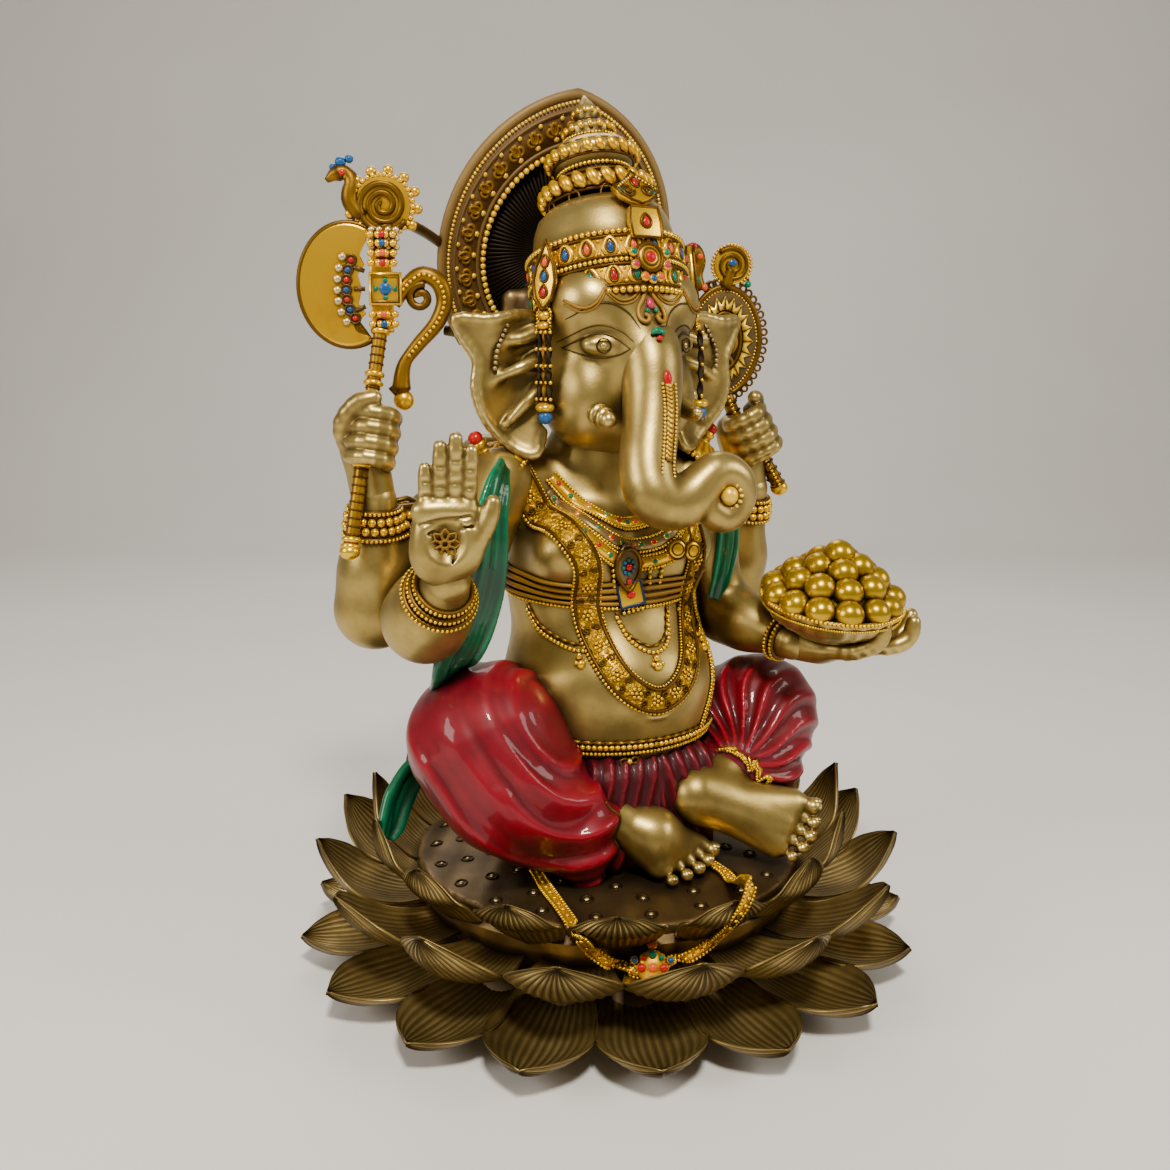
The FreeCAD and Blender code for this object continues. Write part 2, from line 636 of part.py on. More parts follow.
def band_prism(points, width):
    """A ribbon through (x, z) points, extruded from far in front of the chest to its middle."""
    left, right = [], []
    for k, (x, z) in enumerate(points):
        x0, z0 = points[max(k - 1, 0)]
        x1, z1 = points[min(k + 1, len(points) - 1)]
        length = sqrt((x1 - x0) ** 2 + (z1 - z0) ** 2)
        nx, nz = (z1 - z0) / length * width / 2, (x0 - x1) / length * width / 2
        left.append(Vector(x + nx, -90, z + nz))
        right.append(Vector(x - nx, -90, z - nz))
    outline = Part.makePolygon(left + right[::-1] + [left[0]])
    return Part.Face(outline).extrude(Vector(0, 90, 0))


def wrap(body, grown, points, width):
    """The part of a thin shell over the torso that lies behind a ribbon outline."""
    return largest(grown.common(band_prism(points, width)).cut(body))


def grown_torso(extra):
    """The torso with extra thickness all round."""
    belly, chest = size("belly_radius") + extra, size("chest_radius") + extra
    return stack([(0, 2, 50, 44 + extra, 38 + extra), (0, 1, 66, belly + 3, 44 + extra), (0, 0, 92, belly + 4, belly - 1),
                  (0, 0, 124, belly + 2, belly + 1), (-1, 1, 150, belly, belly - 3),
                  (-2, 4, 176, chest + 3, chest - 5), (-1, 9, 204, chest + 4, chest - 11),
                  (0, 13, 224, chest + 3, 25 + extra), (0, 14, 236 + extra, 33 + extra, 19 + extra)])


SASH = [(-44, 226), (-38, 214), (-28, 196), (-24, 175), (-20, 152), (-12, 139), (-1, 135), (11, 138),
        (19, 148), (25, 164), (27, 182), (26, 198)]
BELT = [(-52, 124), (-36, 121), (-18, 115), (0, 112), (18, 115), (36, 121), (52, 124)]
CHEST_BAND = [(-49, 186), (-40, 183), (-30, 182)]
COLLAR = [(-24, 222), (-16, 204), (-8, 193), (4, 190), (14, 196), (22, 208), (28, 220)]


def pendant():
    plate = Part.makeBox(11, 4, 11, Vector(-5.5, -2, -5.5))
    plate.Placement = Placement(Vector(-6, -44, 178), Rotation(Vector(0, 1, 0), 8))
    return plate


def bangles(arms):
    """Rope bangles, one on each wrist."""
    rings = []
    for name, wrist in WRIST.items():
        along = (wrist - ELBOW[name]).normalize()
        ring = Part.makeTorus(ARM_RADII[name][2] + 0.6, 2.4, wrist - along * 6, along)
        for shape in arms.values():
            ring = ring.cut(shape)
        rings.append(largest(ring))
    return Part.makeCompound(rings)


def ear_tassel(sign):
    cord = capsule(Vector(sign * 39, -11, 290), Vector(sign * 39, -14, 262), 3.2, 3.2)
    return joined(cord, ball(Vector(sign * 39, -14, 258), 4.2))


def tie_bar(start, end):
    return capsule(Vector(*start), Vector(*end), 2.4, 2.4)


def seat_strap(points):
    stations = [(Vector(*point), 4, 1.6) for point in points]
    return limb(stations, Vector(0.9, -0.4, 0))


def seat_pendant():
    plate = Part.makeCylinder(8, 5, Vector(), Vector(0, 0, 1))
    plate.Placement = Placement(Vector(-41, -108, 50), Rotation(Vector(0, 0, 1), Vector(-0.36, -0.93, 0.2)))
    return plate


# ---------------------------------------------------------------- assembly

def cast_figure(fixed):
    """Every free-form casting, each trimmed to the pieces it is glued against."""
    core = fixed["lotus_core"]
    crown = [fixed[name] for name in ("crown_band", "crown_dome", "crown_tiers", "crown_finial")]
    parts = lotus_petals(core)
    petals = list(parts.values())
    parts["torso"] = without(torso(), core)
    parts["right_leg"] = without(right_leg(), parts["torso"], core, *petals)
    parts["left_leg"] = without(left_leg(), parts["torso"], core, *petals)
    legs = [parts["right_leg"], parts["left_leg"]]
    parts["front_pleats"] = without(front_pleats(), parts["torso"], core, *legs)
    lower = [core, parts["torso"], parts["front_pleats"], *legs, *petals]
    parts["left_foot"] = without(left_foot(), *lower)
    parts["right_foot"] = without(right_foot(), parts["left_foot"], *lower)
    parts["head"] = without(head().cut(above_crown_foot()), parts["torso"])
    parts["trunk"] = without(trunk(), parts["head"], parts["torso"])
    face = [parts["head"], parts["trunk"], parts["torso"], *crown]
    parts["right_ear"] = without(ear(-1), *face, fixed["halo"])
    parts["left_ear"] = without(ear(1), *face, fixed["halo"])
    parts["right_tusk"] = without(tusk((-20, -26, 257), (-18, -41, 256)), *face)
    parts["left_tusk"] = without(tusk((16, -24, 262), (17, -42, 260)), *face)
    parts["halo_bracket"] = without(halo_bracket(), *crown, parts["head"], fixed["halo"])
    parts["crown_crest"] = without(crown_crest(), *crown, parts["head"])
    parts["trunk_sweet"] = ball(Vector(17.93, -64.49, 224.59), size("gem_sweet_radius"))
    arms = {}
    for name in SHOULDER:
        arms[name] = without(arm(name), parts["torso"], parts["head"], *arms.values(), *legs)
        parts[name + "_arm"] = arms[name]
    held = [parts["torso"], *face, *arms.values(), *legs, parts["right_ear"], parts["left_ear"]]
    parts["bowl_sweets"] = sweets(fixed["bowl"])
    parts["axe_shaft"] = without(axe_shaft(), *held)
    parts["axe_blade"] = without(axe_blade(), parts["axe_shaft"])
    parts["axe_finial"] = without(axe_finial(), parts["axe_blade"])
    parts["axe_hook"] = without(axe_hook(), parts["axe_blade"], parts["axe_shaft"])
    parts["noose_ring"] = noose_ring()
    parts["noose_finial"] = without(noose_finial(), parts["noose_ring"])
    parts["noose_handle"] = without(noose_handle(), parts["noose_ring"], *held)
    axe = [parts[name] for name in ("axe_shaft", "axe_blade", "axe_finial", "axe_hook")]
    noose = [parts[name] for name in ("noose_ring", "noose_finial", "noose_handle")]
    parts["front_right_hand"] = without(raised_hand(), *held, *axe)
    rear_right = fist("rear_right", SHAFT_LOW, SHAFT_HIGH)
    parts["rear_right_hand"] = without(rear_right, *held, *axe, parts["front_right_hand"])
    rear_left = fist("rear_left", Vector(101, 9, 217), Vector(80, 12, 250))
    parts["rear_left_hand"] = without(rear_left, *held, *noose)
    parts["front_left_hand"] = without(bowl_hand(), *held, fixed["bowl"])
    hands = [shape for name, shape in parts.items() if name.endswith("_hand")]
    return parts, arms, hands, held, axe


def dress(parts, arms, hands, held, axe, fixed):
    """Cloth and ornament castings, laid over the figure last."""
    solid = [*held, *hands, fixed["lotus_core"]]
    petals = [shape for name, shape in parts.items() if name.startswith("lotus_petals")]
    sash_shell = grown_torso(2.4)
    parts["chest_sash"] = wrap(parts["torso"], sash_shell, SASH, 12)
    parts["chest_sash"] = without(parts["chest_sash"], *held)
    parts["waist_belt"] = wrap(parts["torso"], grown_torso(2), BELT, 5)
    parts["waist_belt"] = without(parts["waist_belt"], *held, parts["front_pleats"])
    parts["chest_band"] = wrap(parts["torso"], grown_torso(1.6), CHEST_BAND, 7)
    parts["chest_band"] = without(parts["chest_band"], parts["chest_sash"], *held)
    parts["collar"] = wrap(parts["torso"], grown_torso(3), COLLAR, 7)
    parts["collar"] = without(parts["collar"], parts["chest_sash"], *held)
    parts["chest_pendant"] = without(pendant(), parts["torso"], parts["chest_sash"], parts["collar"])
    trims = [parts[name] for name in ("chest_sash", "waist_belt", "chest_band", "collar")]
    parts["right_epaulette"] = without(epaulette(-1), *solid, *trims)
    parts["left_epaulette"] = without(epaulette(1), *solid, *trims)
    caps = [parts["right_epaulette"], parts["left_epaulette"]]
    parts["right_shawl"] = without(right_shawl(), *solid, *trims, *caps)
    parts["left_shawl"] = without(left_shawl(), *solid, *trims, *caps)
    parts["shawl_tail"] = without(shawl_tail(), *solid, *petals)
    parts["bangles"] = bangles({**arms, **{f"hand{k}": hand for k, hand in enumerate(hands)}})
    parts["right_ear_tassel"] = without(ear_tassel(-1), *solid)
    parts["left_ear_tassel"] = without(ear_tassel(1), *solid)
    ears = [parts["right_ear"], parts["left_ear"], fixed["halo"], *axe]
    parts["ear_tie_bar"] = without(tie_bar((-70, 17, 292), (-60, 5, 287)), *ears)
    parts["halo_tie_bar"] = without(tie_bar((-86, 20, 337), (-57, 57, 331)), *ears)
    figure = [*solid, parts["right_foot"], parts["left_foot"], parts["shawl_tail"]]
    right = seat_strap([(-58, -20, 57), (-62, -52, 53), (-64, -66, 51)])
    left = seat_strap([(22, -56, 56), (26, -68, 54), (26, -78, 52)])
    parts["right_seat_strap"] = without(right, *figure, *petals)
    parts["left_seat_strap"] = without(left, *figure, *petals)
    parts["seat_pendant"] = without(seat_pendant(), *petals)


def peg_all(parts):
    """Round pegs that locate the glued castings."""
    arm_peg, wrist_peg = size("arm_peg_radius"), size("wrist_peg_radius")
    small, length = size("small_peg_radius"), size("peg_length")
    for name, shoulder in SHOULDER.items():
        inward = Vector(-1 if shoulder.x > 0 else 1, 0, -0.15)
        start = shoulder + inward * 12
        peg_joint(parts, name + "_arm", "torso", start, inward, arm_peg, length, root=12)
        along = WRIST[name] - ELBOW[name]
        end = WRIST[name] - along.normalize() * 2
        peg_joint(parts, name + "_hand", name + "_arm", end, along * -1, wrist_peg, 8, root=6)


def central_pegs(parts):
    seat = Part.makeCylinder(size("seat_peg_radius"), size("seat_peg_length") + 6,
                             Vector(0, 0, size("seat_height") - size("seat_peg_length")))
    parts["torso"] = parts["torso"].fuse(seat)
    neck = Part.makeCylinder(size("neck_peg_radius"), size("peg_length") + 8, Vector(0, 0, -8))
    neck.Placement = crown_placement()
    parts["head"] = parts["head"].fuse(neck)


def report(name, shape):
    if shape.isNull() or not shape.isValid():
        raise ValueError(f"{name} is not a valid shape")
    if not shape.Solids:
        raise ValueError(f"{name} has no solid")


def main():
    fill_sheet()
    bodies = [felt_pad(), lotus_core(), crown_band(), crown_dome(), crown_tiers(), crown_finial(), halo(), bowl()]
    DOC.recompute()
    fixed = {body.Label: body.Shape for body in bodies}
    parts, arms, hands, held, axe = cast_figure(fixed)
    dress(parts, arms, hands, held, axe, fixed)
    peg_all(parts)
    central_pegs(parts)
    nodes = bodies + [feature(name, shape) for name, shape in parts.items()]
    DOC.recompute()
    for item in DOC.Objects:
        if "Invalid" in item.State or "Error" in item.State:
            raise ValueError(f"{item.Label} did not compute")
    os.makedirs("parts", exist_ok=True)
    for node in nodes:
        report(node.Label, node.Shape)
        node.Shape.exportStep(f"parts/{node.Label}.step")


main()
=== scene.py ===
"""A seated elephant-headed idol in painted resin, on a double lotus.

Lengths in this script are millimetres until a mesh is made, which is in metres.  Soft forms are
distance fields that are blended and then turned into meshes; ornament is laid on those fields.
"""
import math
import bpy
import numpy as np
from math import cos, pi, radians, sin
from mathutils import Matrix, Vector
from mathutils.bvhtree import BVHTree


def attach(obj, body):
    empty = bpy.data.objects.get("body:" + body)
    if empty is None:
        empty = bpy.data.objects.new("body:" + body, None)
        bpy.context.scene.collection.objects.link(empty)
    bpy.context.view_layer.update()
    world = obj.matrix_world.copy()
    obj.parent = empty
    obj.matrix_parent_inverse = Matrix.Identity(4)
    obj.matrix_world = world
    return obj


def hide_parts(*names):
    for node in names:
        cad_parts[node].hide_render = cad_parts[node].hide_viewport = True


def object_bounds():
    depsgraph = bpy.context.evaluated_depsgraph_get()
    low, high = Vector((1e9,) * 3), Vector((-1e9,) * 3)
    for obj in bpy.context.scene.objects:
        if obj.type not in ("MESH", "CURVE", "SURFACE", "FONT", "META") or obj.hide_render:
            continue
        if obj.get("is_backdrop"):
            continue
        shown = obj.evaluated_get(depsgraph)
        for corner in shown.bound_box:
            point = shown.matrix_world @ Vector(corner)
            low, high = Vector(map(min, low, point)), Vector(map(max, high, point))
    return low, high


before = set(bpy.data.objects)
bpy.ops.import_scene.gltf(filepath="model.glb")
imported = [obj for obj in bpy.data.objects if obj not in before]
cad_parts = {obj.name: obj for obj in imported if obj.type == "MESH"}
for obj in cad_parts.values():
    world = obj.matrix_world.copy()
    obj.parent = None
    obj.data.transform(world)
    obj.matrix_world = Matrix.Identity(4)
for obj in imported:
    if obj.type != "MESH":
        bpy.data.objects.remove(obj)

CAD_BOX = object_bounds()
MM = 0.001
RNG = np.random.default_rng(7)


def vec(*v):
    return np.array(v, float)


def unit(v):
    v = np.asarray(v, float)
    return v / np.linalg.norm(v)


# ------------------------------------------------------------------ distance fields

def ball(p, c, r):
    return np.linalg.norm(p - c, axis=-1) - r


def capsule(p, a, b, ra, rb=None):
    """A rod from a to b whose radius runs from ra to rb."""
    rb = ra if rb is None else rb
    a, b = np.asarray(a, float), np.asarray(b, float)
    ab = b - a
    t = np.clip((p - a) @ ab / (ab @ ab), 0, 1)
    return np.linalg.norm(p - a - t[..., None] * ab, axis=-1) - (ra + (rb - ra) * t)


def ellipsoid(p, c, r, turn=None):
    q = p - np.asarray(c, float)
    if turn is not None:
        q = q @ turn
    r = np.asarray(r, float)
    k0 = np.linalg.norm(q / r, axis=-1)
    k1 = np.linalg.norm(q / (r * r), axis=-1)
    return k0 * (k0 - 1) / np.maximum(k1, 1e-6)


def torus(p, c, axis, big, small):
    q = p - np.asarray(c, float)
    axis = unit(axis)
    along = q @ axis
    ring = np.sqrt(np.maximum((q * q).sum(-1) - along ** 2, 0)) - big
    return np.hypot(ring, along) - small


def slab(p, c, half, turn=None, edge=1.0):
    """A box of half sizes about c with rounded edges; turn's columns are its axes."""
    q = p - np.asarray(c, float)
    if turn is not None:
        q = q @ turn
    d = np.abs(q) - (np.asarray(half, float) - edge)
    return np.linalg.norm(np.maximum(d, 0), axis=-1) + np.minimum(d.max(-1), 0) - edge


def melt(a, b, k):
    """The union of two fields with a fillet of about k."""
    h = np.maximum(k - np.abs(a - b), 0) / k
    return np.minimum(a, b) - h * h * k * 0.25


def carve(a, b, k=1.0):
    """Field a with b taken out."""
    return -melt(-a, b, k)


def overlap(a, b, k=1.0):
    return -melt(-a, -b, k)


def chain(p, points, radii, k=4.0):
    d = None
    for a, b, ra, rb in zip(points, points[1:], radii, radii[1:]):
        e = capsule(p, a, b, ra, rb)
        d = e if d is None else melt(d, e, k)
    return d


def axes(x, z):
    """A turn whose columns are x, z cross x and z."""
    z = unit(z)
    x = unit(np.asarray(x, float) - z * np.dot(x, z))
    return np.array([x, np.cross(z, x), z]).T


def spline(points, count):
    """Points along a smooth curve through the given ones (centripetal enough for short runs)."""
    pts = np.asarray(points, float)
    ext = np.vstack([2 * pts[0] - pts[1], pts, 2 * pts[-1] - pts[-2]])
    out = []
    for u in np.linspace(0, len(pts) - 1, count):
        i = min(int(u), len(pts) - 2)
        t = u - i
        p0, p1, p2, p3 = ext[i:i + 4]
        out.append(0.5 * (2 * p1 + (p2 - p0) * t + (2 * p0 - 5 * p1 + 4 * p2 - p3) * t * t
                          + (3 * p1 - p0 - 3 * p2 + p3) * t ** 3))
    return np.array(out)


def march(points, radii, count, k=3.0):
    """A smooth tube field along a spline, given as a function of p."""
    pts = spline(points, count)
    rad = np.interp(np.linspace(0, len(radii) - 1, count), range(len(radii)), radii)
    return lambda p: chain(p, pts, rad, k)


def surface(field, low, high, step):
    """Vertices and quads of a field's zero surface, by surface nets."""
    low, high = np.asarray(low, float), np.asarray(high, float)
    size = np.ceil((high - low) / step).astype(int) + 1
    grid = [low[i] + step * np.arange(size[i]) for i in range(3)]
    value = np.empty(size, np.float32)
    for i in range(size[0]):
        y, z = np.meshgrid(grid[1], grid[2], indexing="ij")
        p = np.stack([np.full_like(y, grid[0][i]), y, z], -1)
        value[i] = field(p)
    inside = value < 0
    cells = tuple(size - 1)
    total = np.zeros((3, int(np.prod(cells))))
    count = np.zeros(int(np.prod(cells)))
    faces = []
    for ax in range(3):
        o1, o2 = (ax + 1) % 3, (ax + 2) % 3
        a = [slice(None)] * 3
        b = [slice(None)] * 3
        a[ax], b[ax] = slice(0, -1), slice(1, None)
        va, vb = value[tuple(a)], value[tuple(b)]
        flip = inside[tuple(a)] != inside[tuple(b)]
        where = np.argwhere(flip)
        t = va[flip] / (va[flip] - vb[flip])
        spot = where.astype(np.float32)
        spot[:, ax] += t
        keep = np.ones(len(where), bool)
        corners = []
        for d1, d2 in ((-1, -1), (0, -1), (0, 0), (-1, 0)):
            cell = where.copy()
            cell[:, o1] += d1
            cell[:, o2] += d2
            ok = ((cell >= 0) & (cell < np.array(size - 1))).all(1)
            keep &= ok
            safe = cell[ok]
            flat = np.ravel_multi_index(safe.T, tuple(size - 1))
            for c in range(3):
                total[c] += np.bincount(flat, spot[ok][:, c], count.size)
            count += np.bincount(flat, minlength=count.size)
            corners.append(cell)
        quad = np.stack([np.ravel_multi_index(c[keep].T, tuple(size - 1)) for c in corners], 1)
        out = inside[tuple(a)][flip][keep]
        quad[~out] = quad[~out][:, ::-1]
        faces.append(quad)
    used = np.flatnonzero(count)
    verts = (total[:, used] / count[used]).T
    number = np.full(count.size, -1)
    number[used] = np.arange(len(used))
    return low + verts * step, number[np.concatenate(faces)]


def slope(field, p, e=0.05):
    """The field's outward unit gradient at points p."""
    g = np.stack([field(p + d) - field(p - d) for d in np.eye(3) * e], -1)
    return g / np.maximum(np.linalg.norm(g, axis=-1, keepdims=True), 1e-9)


def settle(field, p, lift=0.0, rounds=6):
    """Points moved along the gradient onto the field's surface, then lifted off it."""
    p = np.array(p, float)
    for _ in range(rounds):
        p = p - slope(field, p) * (field(p) - lift)[:, None] * 0.9
    return p


def strike(field, start, direction, reach=160.0):
    """Where rays from start along direction first meet the field."""
    start = np.array(start, float)
    direction = unit(direction)
    t = np.zeros(len(start))
    for _ in range(70):
        t += np.clip(field(start + t[:, None] * direction) * 0.7, -2, 8)
        t = np.minimum(t, reach)
    return start + t[:, None] * direction


# ------------------------------------------------------------------ meshes

def make(name, verts, faces, material, nodes=(), smooth=True):
    """A mesh piece from millimetre vertices, riding on the idol."""
    mesh = bpy.data.meshes.new(name)
    verts = np.asarray(verts, np.float32) * MM
    if isinstance(faces, np.ndarray):
        mesh.vertices.add(len(verts))
        mesh.vertices.foreach_set("co", verts.ravel())
        n, k = faces.shape
        mesh.loops.add(n * k)
        mesh.loops.foreach_set("vertex_index", faces.astype(np.int32).ravel())
        mesh.polygons.add(n)
        mesh.polygons.foreach_set("loop_start", np.arange(0, n * k, k, dtype=np.int32))
        mesh.polygons.foreach_set("loop_total", np.full(n, k, np.int32))
        mesh.update(calc_edges=True)
    else:
        mesh.from_pydata(verts.tolist(), [], faces)
    mesh.validate()
    mesh.materials.append(material)
    mesh.polygons.foreach_set("use_smooth", np.full(len(mesh.polygons), smooth))
    piece = bpy.data.objects.new(name, mesh)
    bpy.context.scene.collection.objects.link(piece)
    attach(piece, "root")
    if nodes:
        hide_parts(*nodes)
    return piece


def sculpt(name, field, low, high, step, material, nodes=()):
    verts, faces = surface(field, low, high, step)
    return make(name, verts, faces, material, nodes)


class Heap:
    """Many small solids gathered into one mesh."""

    def __init__(self):
        self.verts, self.faces, self.count = [], [], 0

    def add(self, verts, faces):
        self.verts.append(np.asarray(verts, float))
        self.faces.extend([tuple(i + self.count for i in f) for f in faces])
        self.count += len(verts)

    def done(self, name, material, nodes=(), slot="gold", smooth=True):
        return make(name, np.vstack(self.verts), self.faces, material, nodes, smooth)


def grid_ball(rings=6, sides=8):
    verts = [(0, 0, 1)]
    for i in range(1, rings):
        a = pi * i / rings
        verts += [(sin(a) * cos(2 * pi * j / sides), sin(a) * sin(2 * pi * j / sides), cos(a))
                for j in range(sides)]
    verts.append((0, 0, -1))
    faces = [(0, 1 + j, 1 + (j + 1) % sides) for j in range(sides)]
    for i in range(rings - 2):
        for j in range(sides):
            a, b = 1 + i * sides + j, 1 + i * sides + (j + 1) % sides
            faces.append((a, a + sides, b + sides, b))
    last, base = len(verts) - 1, 1 + (rings - 2) * sides
    faces += [(last, base + (j + 1) % sides, base + j) for j in range(sides)]
    return np.array(verts), faces


BALL, FINE_BALL = grid_ball(6, 8), grid_ball(12, 16)


def bead(heap, centre, radius, turn=None, fine=False):
    verts, faces = FINE_BALL if fine else BALL
    scaled = verts * np.asarray(radius, float)
    if turn is not None:
        scaled = scaled @ np.asarray(turn).T
    heap.add(scaled + centre, faces)


def evenly(points, gap, values=None):
    """Points at equal spacing along a polyline, or another quantity of its points at those places."""
    points = np.asarray(points, float)
    lengths = np.r_[0, np.cumsum(np.linalg.norm(np.diff(points, axis=0), axis=1))]
    count = max(int(round(lengths[-1] / gap)), 2)
    at = np.linspace(0, lengths[-1], count)
    values = points if values is None else values
    return np.stack([np.interp(at, lengths, values[:, i]) for i in range(3)], 1)


def beads(heap, points, radius, gap=None):
    for p in evenly(points, gap or radius * 1.9):
        bead(heap, p, radius)


def frames(points, up=(0, 0, 1)):
    """Tangent, side and up vectors along a polyline; up may be one vector or one per point."""
    points = np.asarray(points, float)
    t = np.gradient(points, axis=0)
    t /= np.maximum(np.linalg.norm(t, axis=1, keepdims=True), 1e-9)
    up = np.broadcast_to(np.asarray(up, float), points.shape)
    side = np.cross(t, up)
    side /= np.maximum(np.linalg.norm(side, axis=1, keepdims=True), 1e-9)
    return t, side, np.cross(side, t)


def sweep(heap, points, shape, up=(0, 0, 1), scale=None, closed=False, twist=0.0):
    """A cross-section, given as (side, up) pairs, carried along a polyline."""
    points = np.asarray(points, float)
    t, side, top = frames(points, up)
    if closed:
        t = np.roll(points, -1, 0) - np.roll(points, 1, 0)
        t /= np.linalg.norm(t, axis=1, keepdims=True)
        side = np.cross(t, np.broadcast_to(np.asarray(up, float), points.shape))
        side /= np.linalg.norm(side, axis=1, keepdims=True)
        top = np.cross(side, t)
    shape = np.asarray(shape, float)
    n, m = len(points), len(shape)
    scale = np.ones(n) if scale is None else np.broadcast_to(scale, n)
    verts = []
    for i in range(n):
        a = twist * i
        s2 = side[i] * cos(a) + top[i] * sin(a)
        t2 = top[i] * cos(a) - side[i] * sin(a)
        verts.append(points[i] + scale[i] * (shape[:, :1] * s2 + shape[:, 1:] * t2))
    faces = []
    for i in range(n if closed else n - 1):
        j = (i + 1) % n
        faces += [(i * m + k, i * m + (k + 1) % m, j * m + (k + 1) % m, j * m + k) for k in range(m)]
    if not closed:
        faces += [tuple(range(m - 1, -1, -1)), tuple((n - 1) * m + k for k in range(m))]
    heap.add(np.vstack(verts), faces)


def rod_shape(r, sides=8):
    return [(r * cos(2 * pi * k / sides), r * sin(2 * pi * k / sides)) for k in range(sides)]


def cord_of(heap, points, r, up=(0, 0, 1), closed=False):
    """A two-strand twisted rope."""
    points = np.asarray(points, float)
    up = evenly(points, r * 0.7, np.broadcast_to(np.asarray(up, float), points.shape))
    points = evenly(points, r * 0.7)
    shape = [(r * (0.62 + 0.38 * abs(cos(a))) * cos(a), r * (0.62 + 0.38 * abs(cos(a))) * sin(a) * 0.72)
             for a in np.linspace(0, 2 * pi, 12, endpoint=False)]
    sweep(heap, points, shape, up, twist=0.42, closed=closed)


def spun(heap, profile, origin, axis=(0, 0, 1), sides=64, ripple=None, x=(1, 0, 0)):
    """A turned solid.  profile is (radius, height) pairs from bottom axis to top axis."""
    turn = axes(x, axis)
    verts, faces = [], []
    for r, h in profile:
        for k in range(sides):
            a = 2 * pi * k / sides
            rr = r * (1 if ripple is None else ripple(a, r, h))
            verts.append((rr * cos(a), rr * sin(a), h))
    n = len(profile)
    for i in range(n - 1):
        for k in range(sides):
            a, b = i * sides + k, i * sides + (k + 1) % sides
            faces.append((a, b, b + sides, a + sides))
    faces.append(tuple(range(sides - 1, -1, -1)))
    faces.append(tuple((n - 1) * sides + k for k in range(sides)))
    heap.add(np.array(verts) @ turn.T + origin, faces)


def plate(heap, outline, origin, turn, thick, bevel=0.0):
    """A flat plate of a closed (x, y) outline, facing turn's z, with a sloped rim."""
    outline = np.asarray(outline, float)
    n = len(outline)
    centre = outline.mean(0)
    inner = centre + (outline - centre) * (1 - bevel)
    layers = [np.c_[outline, np.full(n, -thick / 2)], np.c_[outline, np.full(n, thick / 2 * (1 - bevel))],
              np.c_[inner, np.full(n, thick / 2)]]
    verts = np.vstack(layers + [np.r_[centre, thick / 2][None], np.r_[centre, -thick / 2][None]])
    faces = []
    for i in range(2):
        for k in range(n):
            j = (k + 1) % n
            faces.append((i * n + k, i * n + j, (i + 1) * n + j, (i + 1) * n + k))
    faces += [(2 * n + k, 2 * n + (k + 1) % n, 3 * n) for k in range(n)]
    faces += [((k + 1) % n, k, 3 * n + 1) for k in range(n)]
    heap.add(verts @ turn.T + origin, faces)


# ------------------------------------------------------------------ materials

def new_material(name):
    material = bpy.data.materials.new(name)
    material.use_nodes = True
    tree = material.node_tree
    return material, tree, tree.nodes["Principled BSDF"]


def link(tree, a, out, b, into):
    tree.links.new(a.outputs[out], b.inputs[into])


def noise(tree, scale, detail=4.0, rough=0.55):
    node = tree.nodes.new("ShaderNodeTexNoise")
    node.inputs["Scale"].default_value = scale
    node.inputs["Detail"].default_value = detail
    node.inputs["Roughness"].default_value = rough
    coord = tree.nodes.new("ShaderNodeTexCoord")
    link(tree, coord, "Object", node, "Vector")
    return node


def ramp(tree, stops):
    node = tree.nodes.new("ShaderNodeValToRGB")
    node.color_ramp.elements[0].position, node.color_ramp.elements[0].color = stops[0][0], (*stops[0][1], 1)
    node.color_ramp.elements[1].position, node.color_ramp.elements[1].color = stops[-1][0], (*stops[-1][1], 1)
    for at, colour in stops[1:-1]:
        node.color_ramp.elements.new(at).color = (*colour, 1)
    return node


def grey(v):
    return (v, v, v)


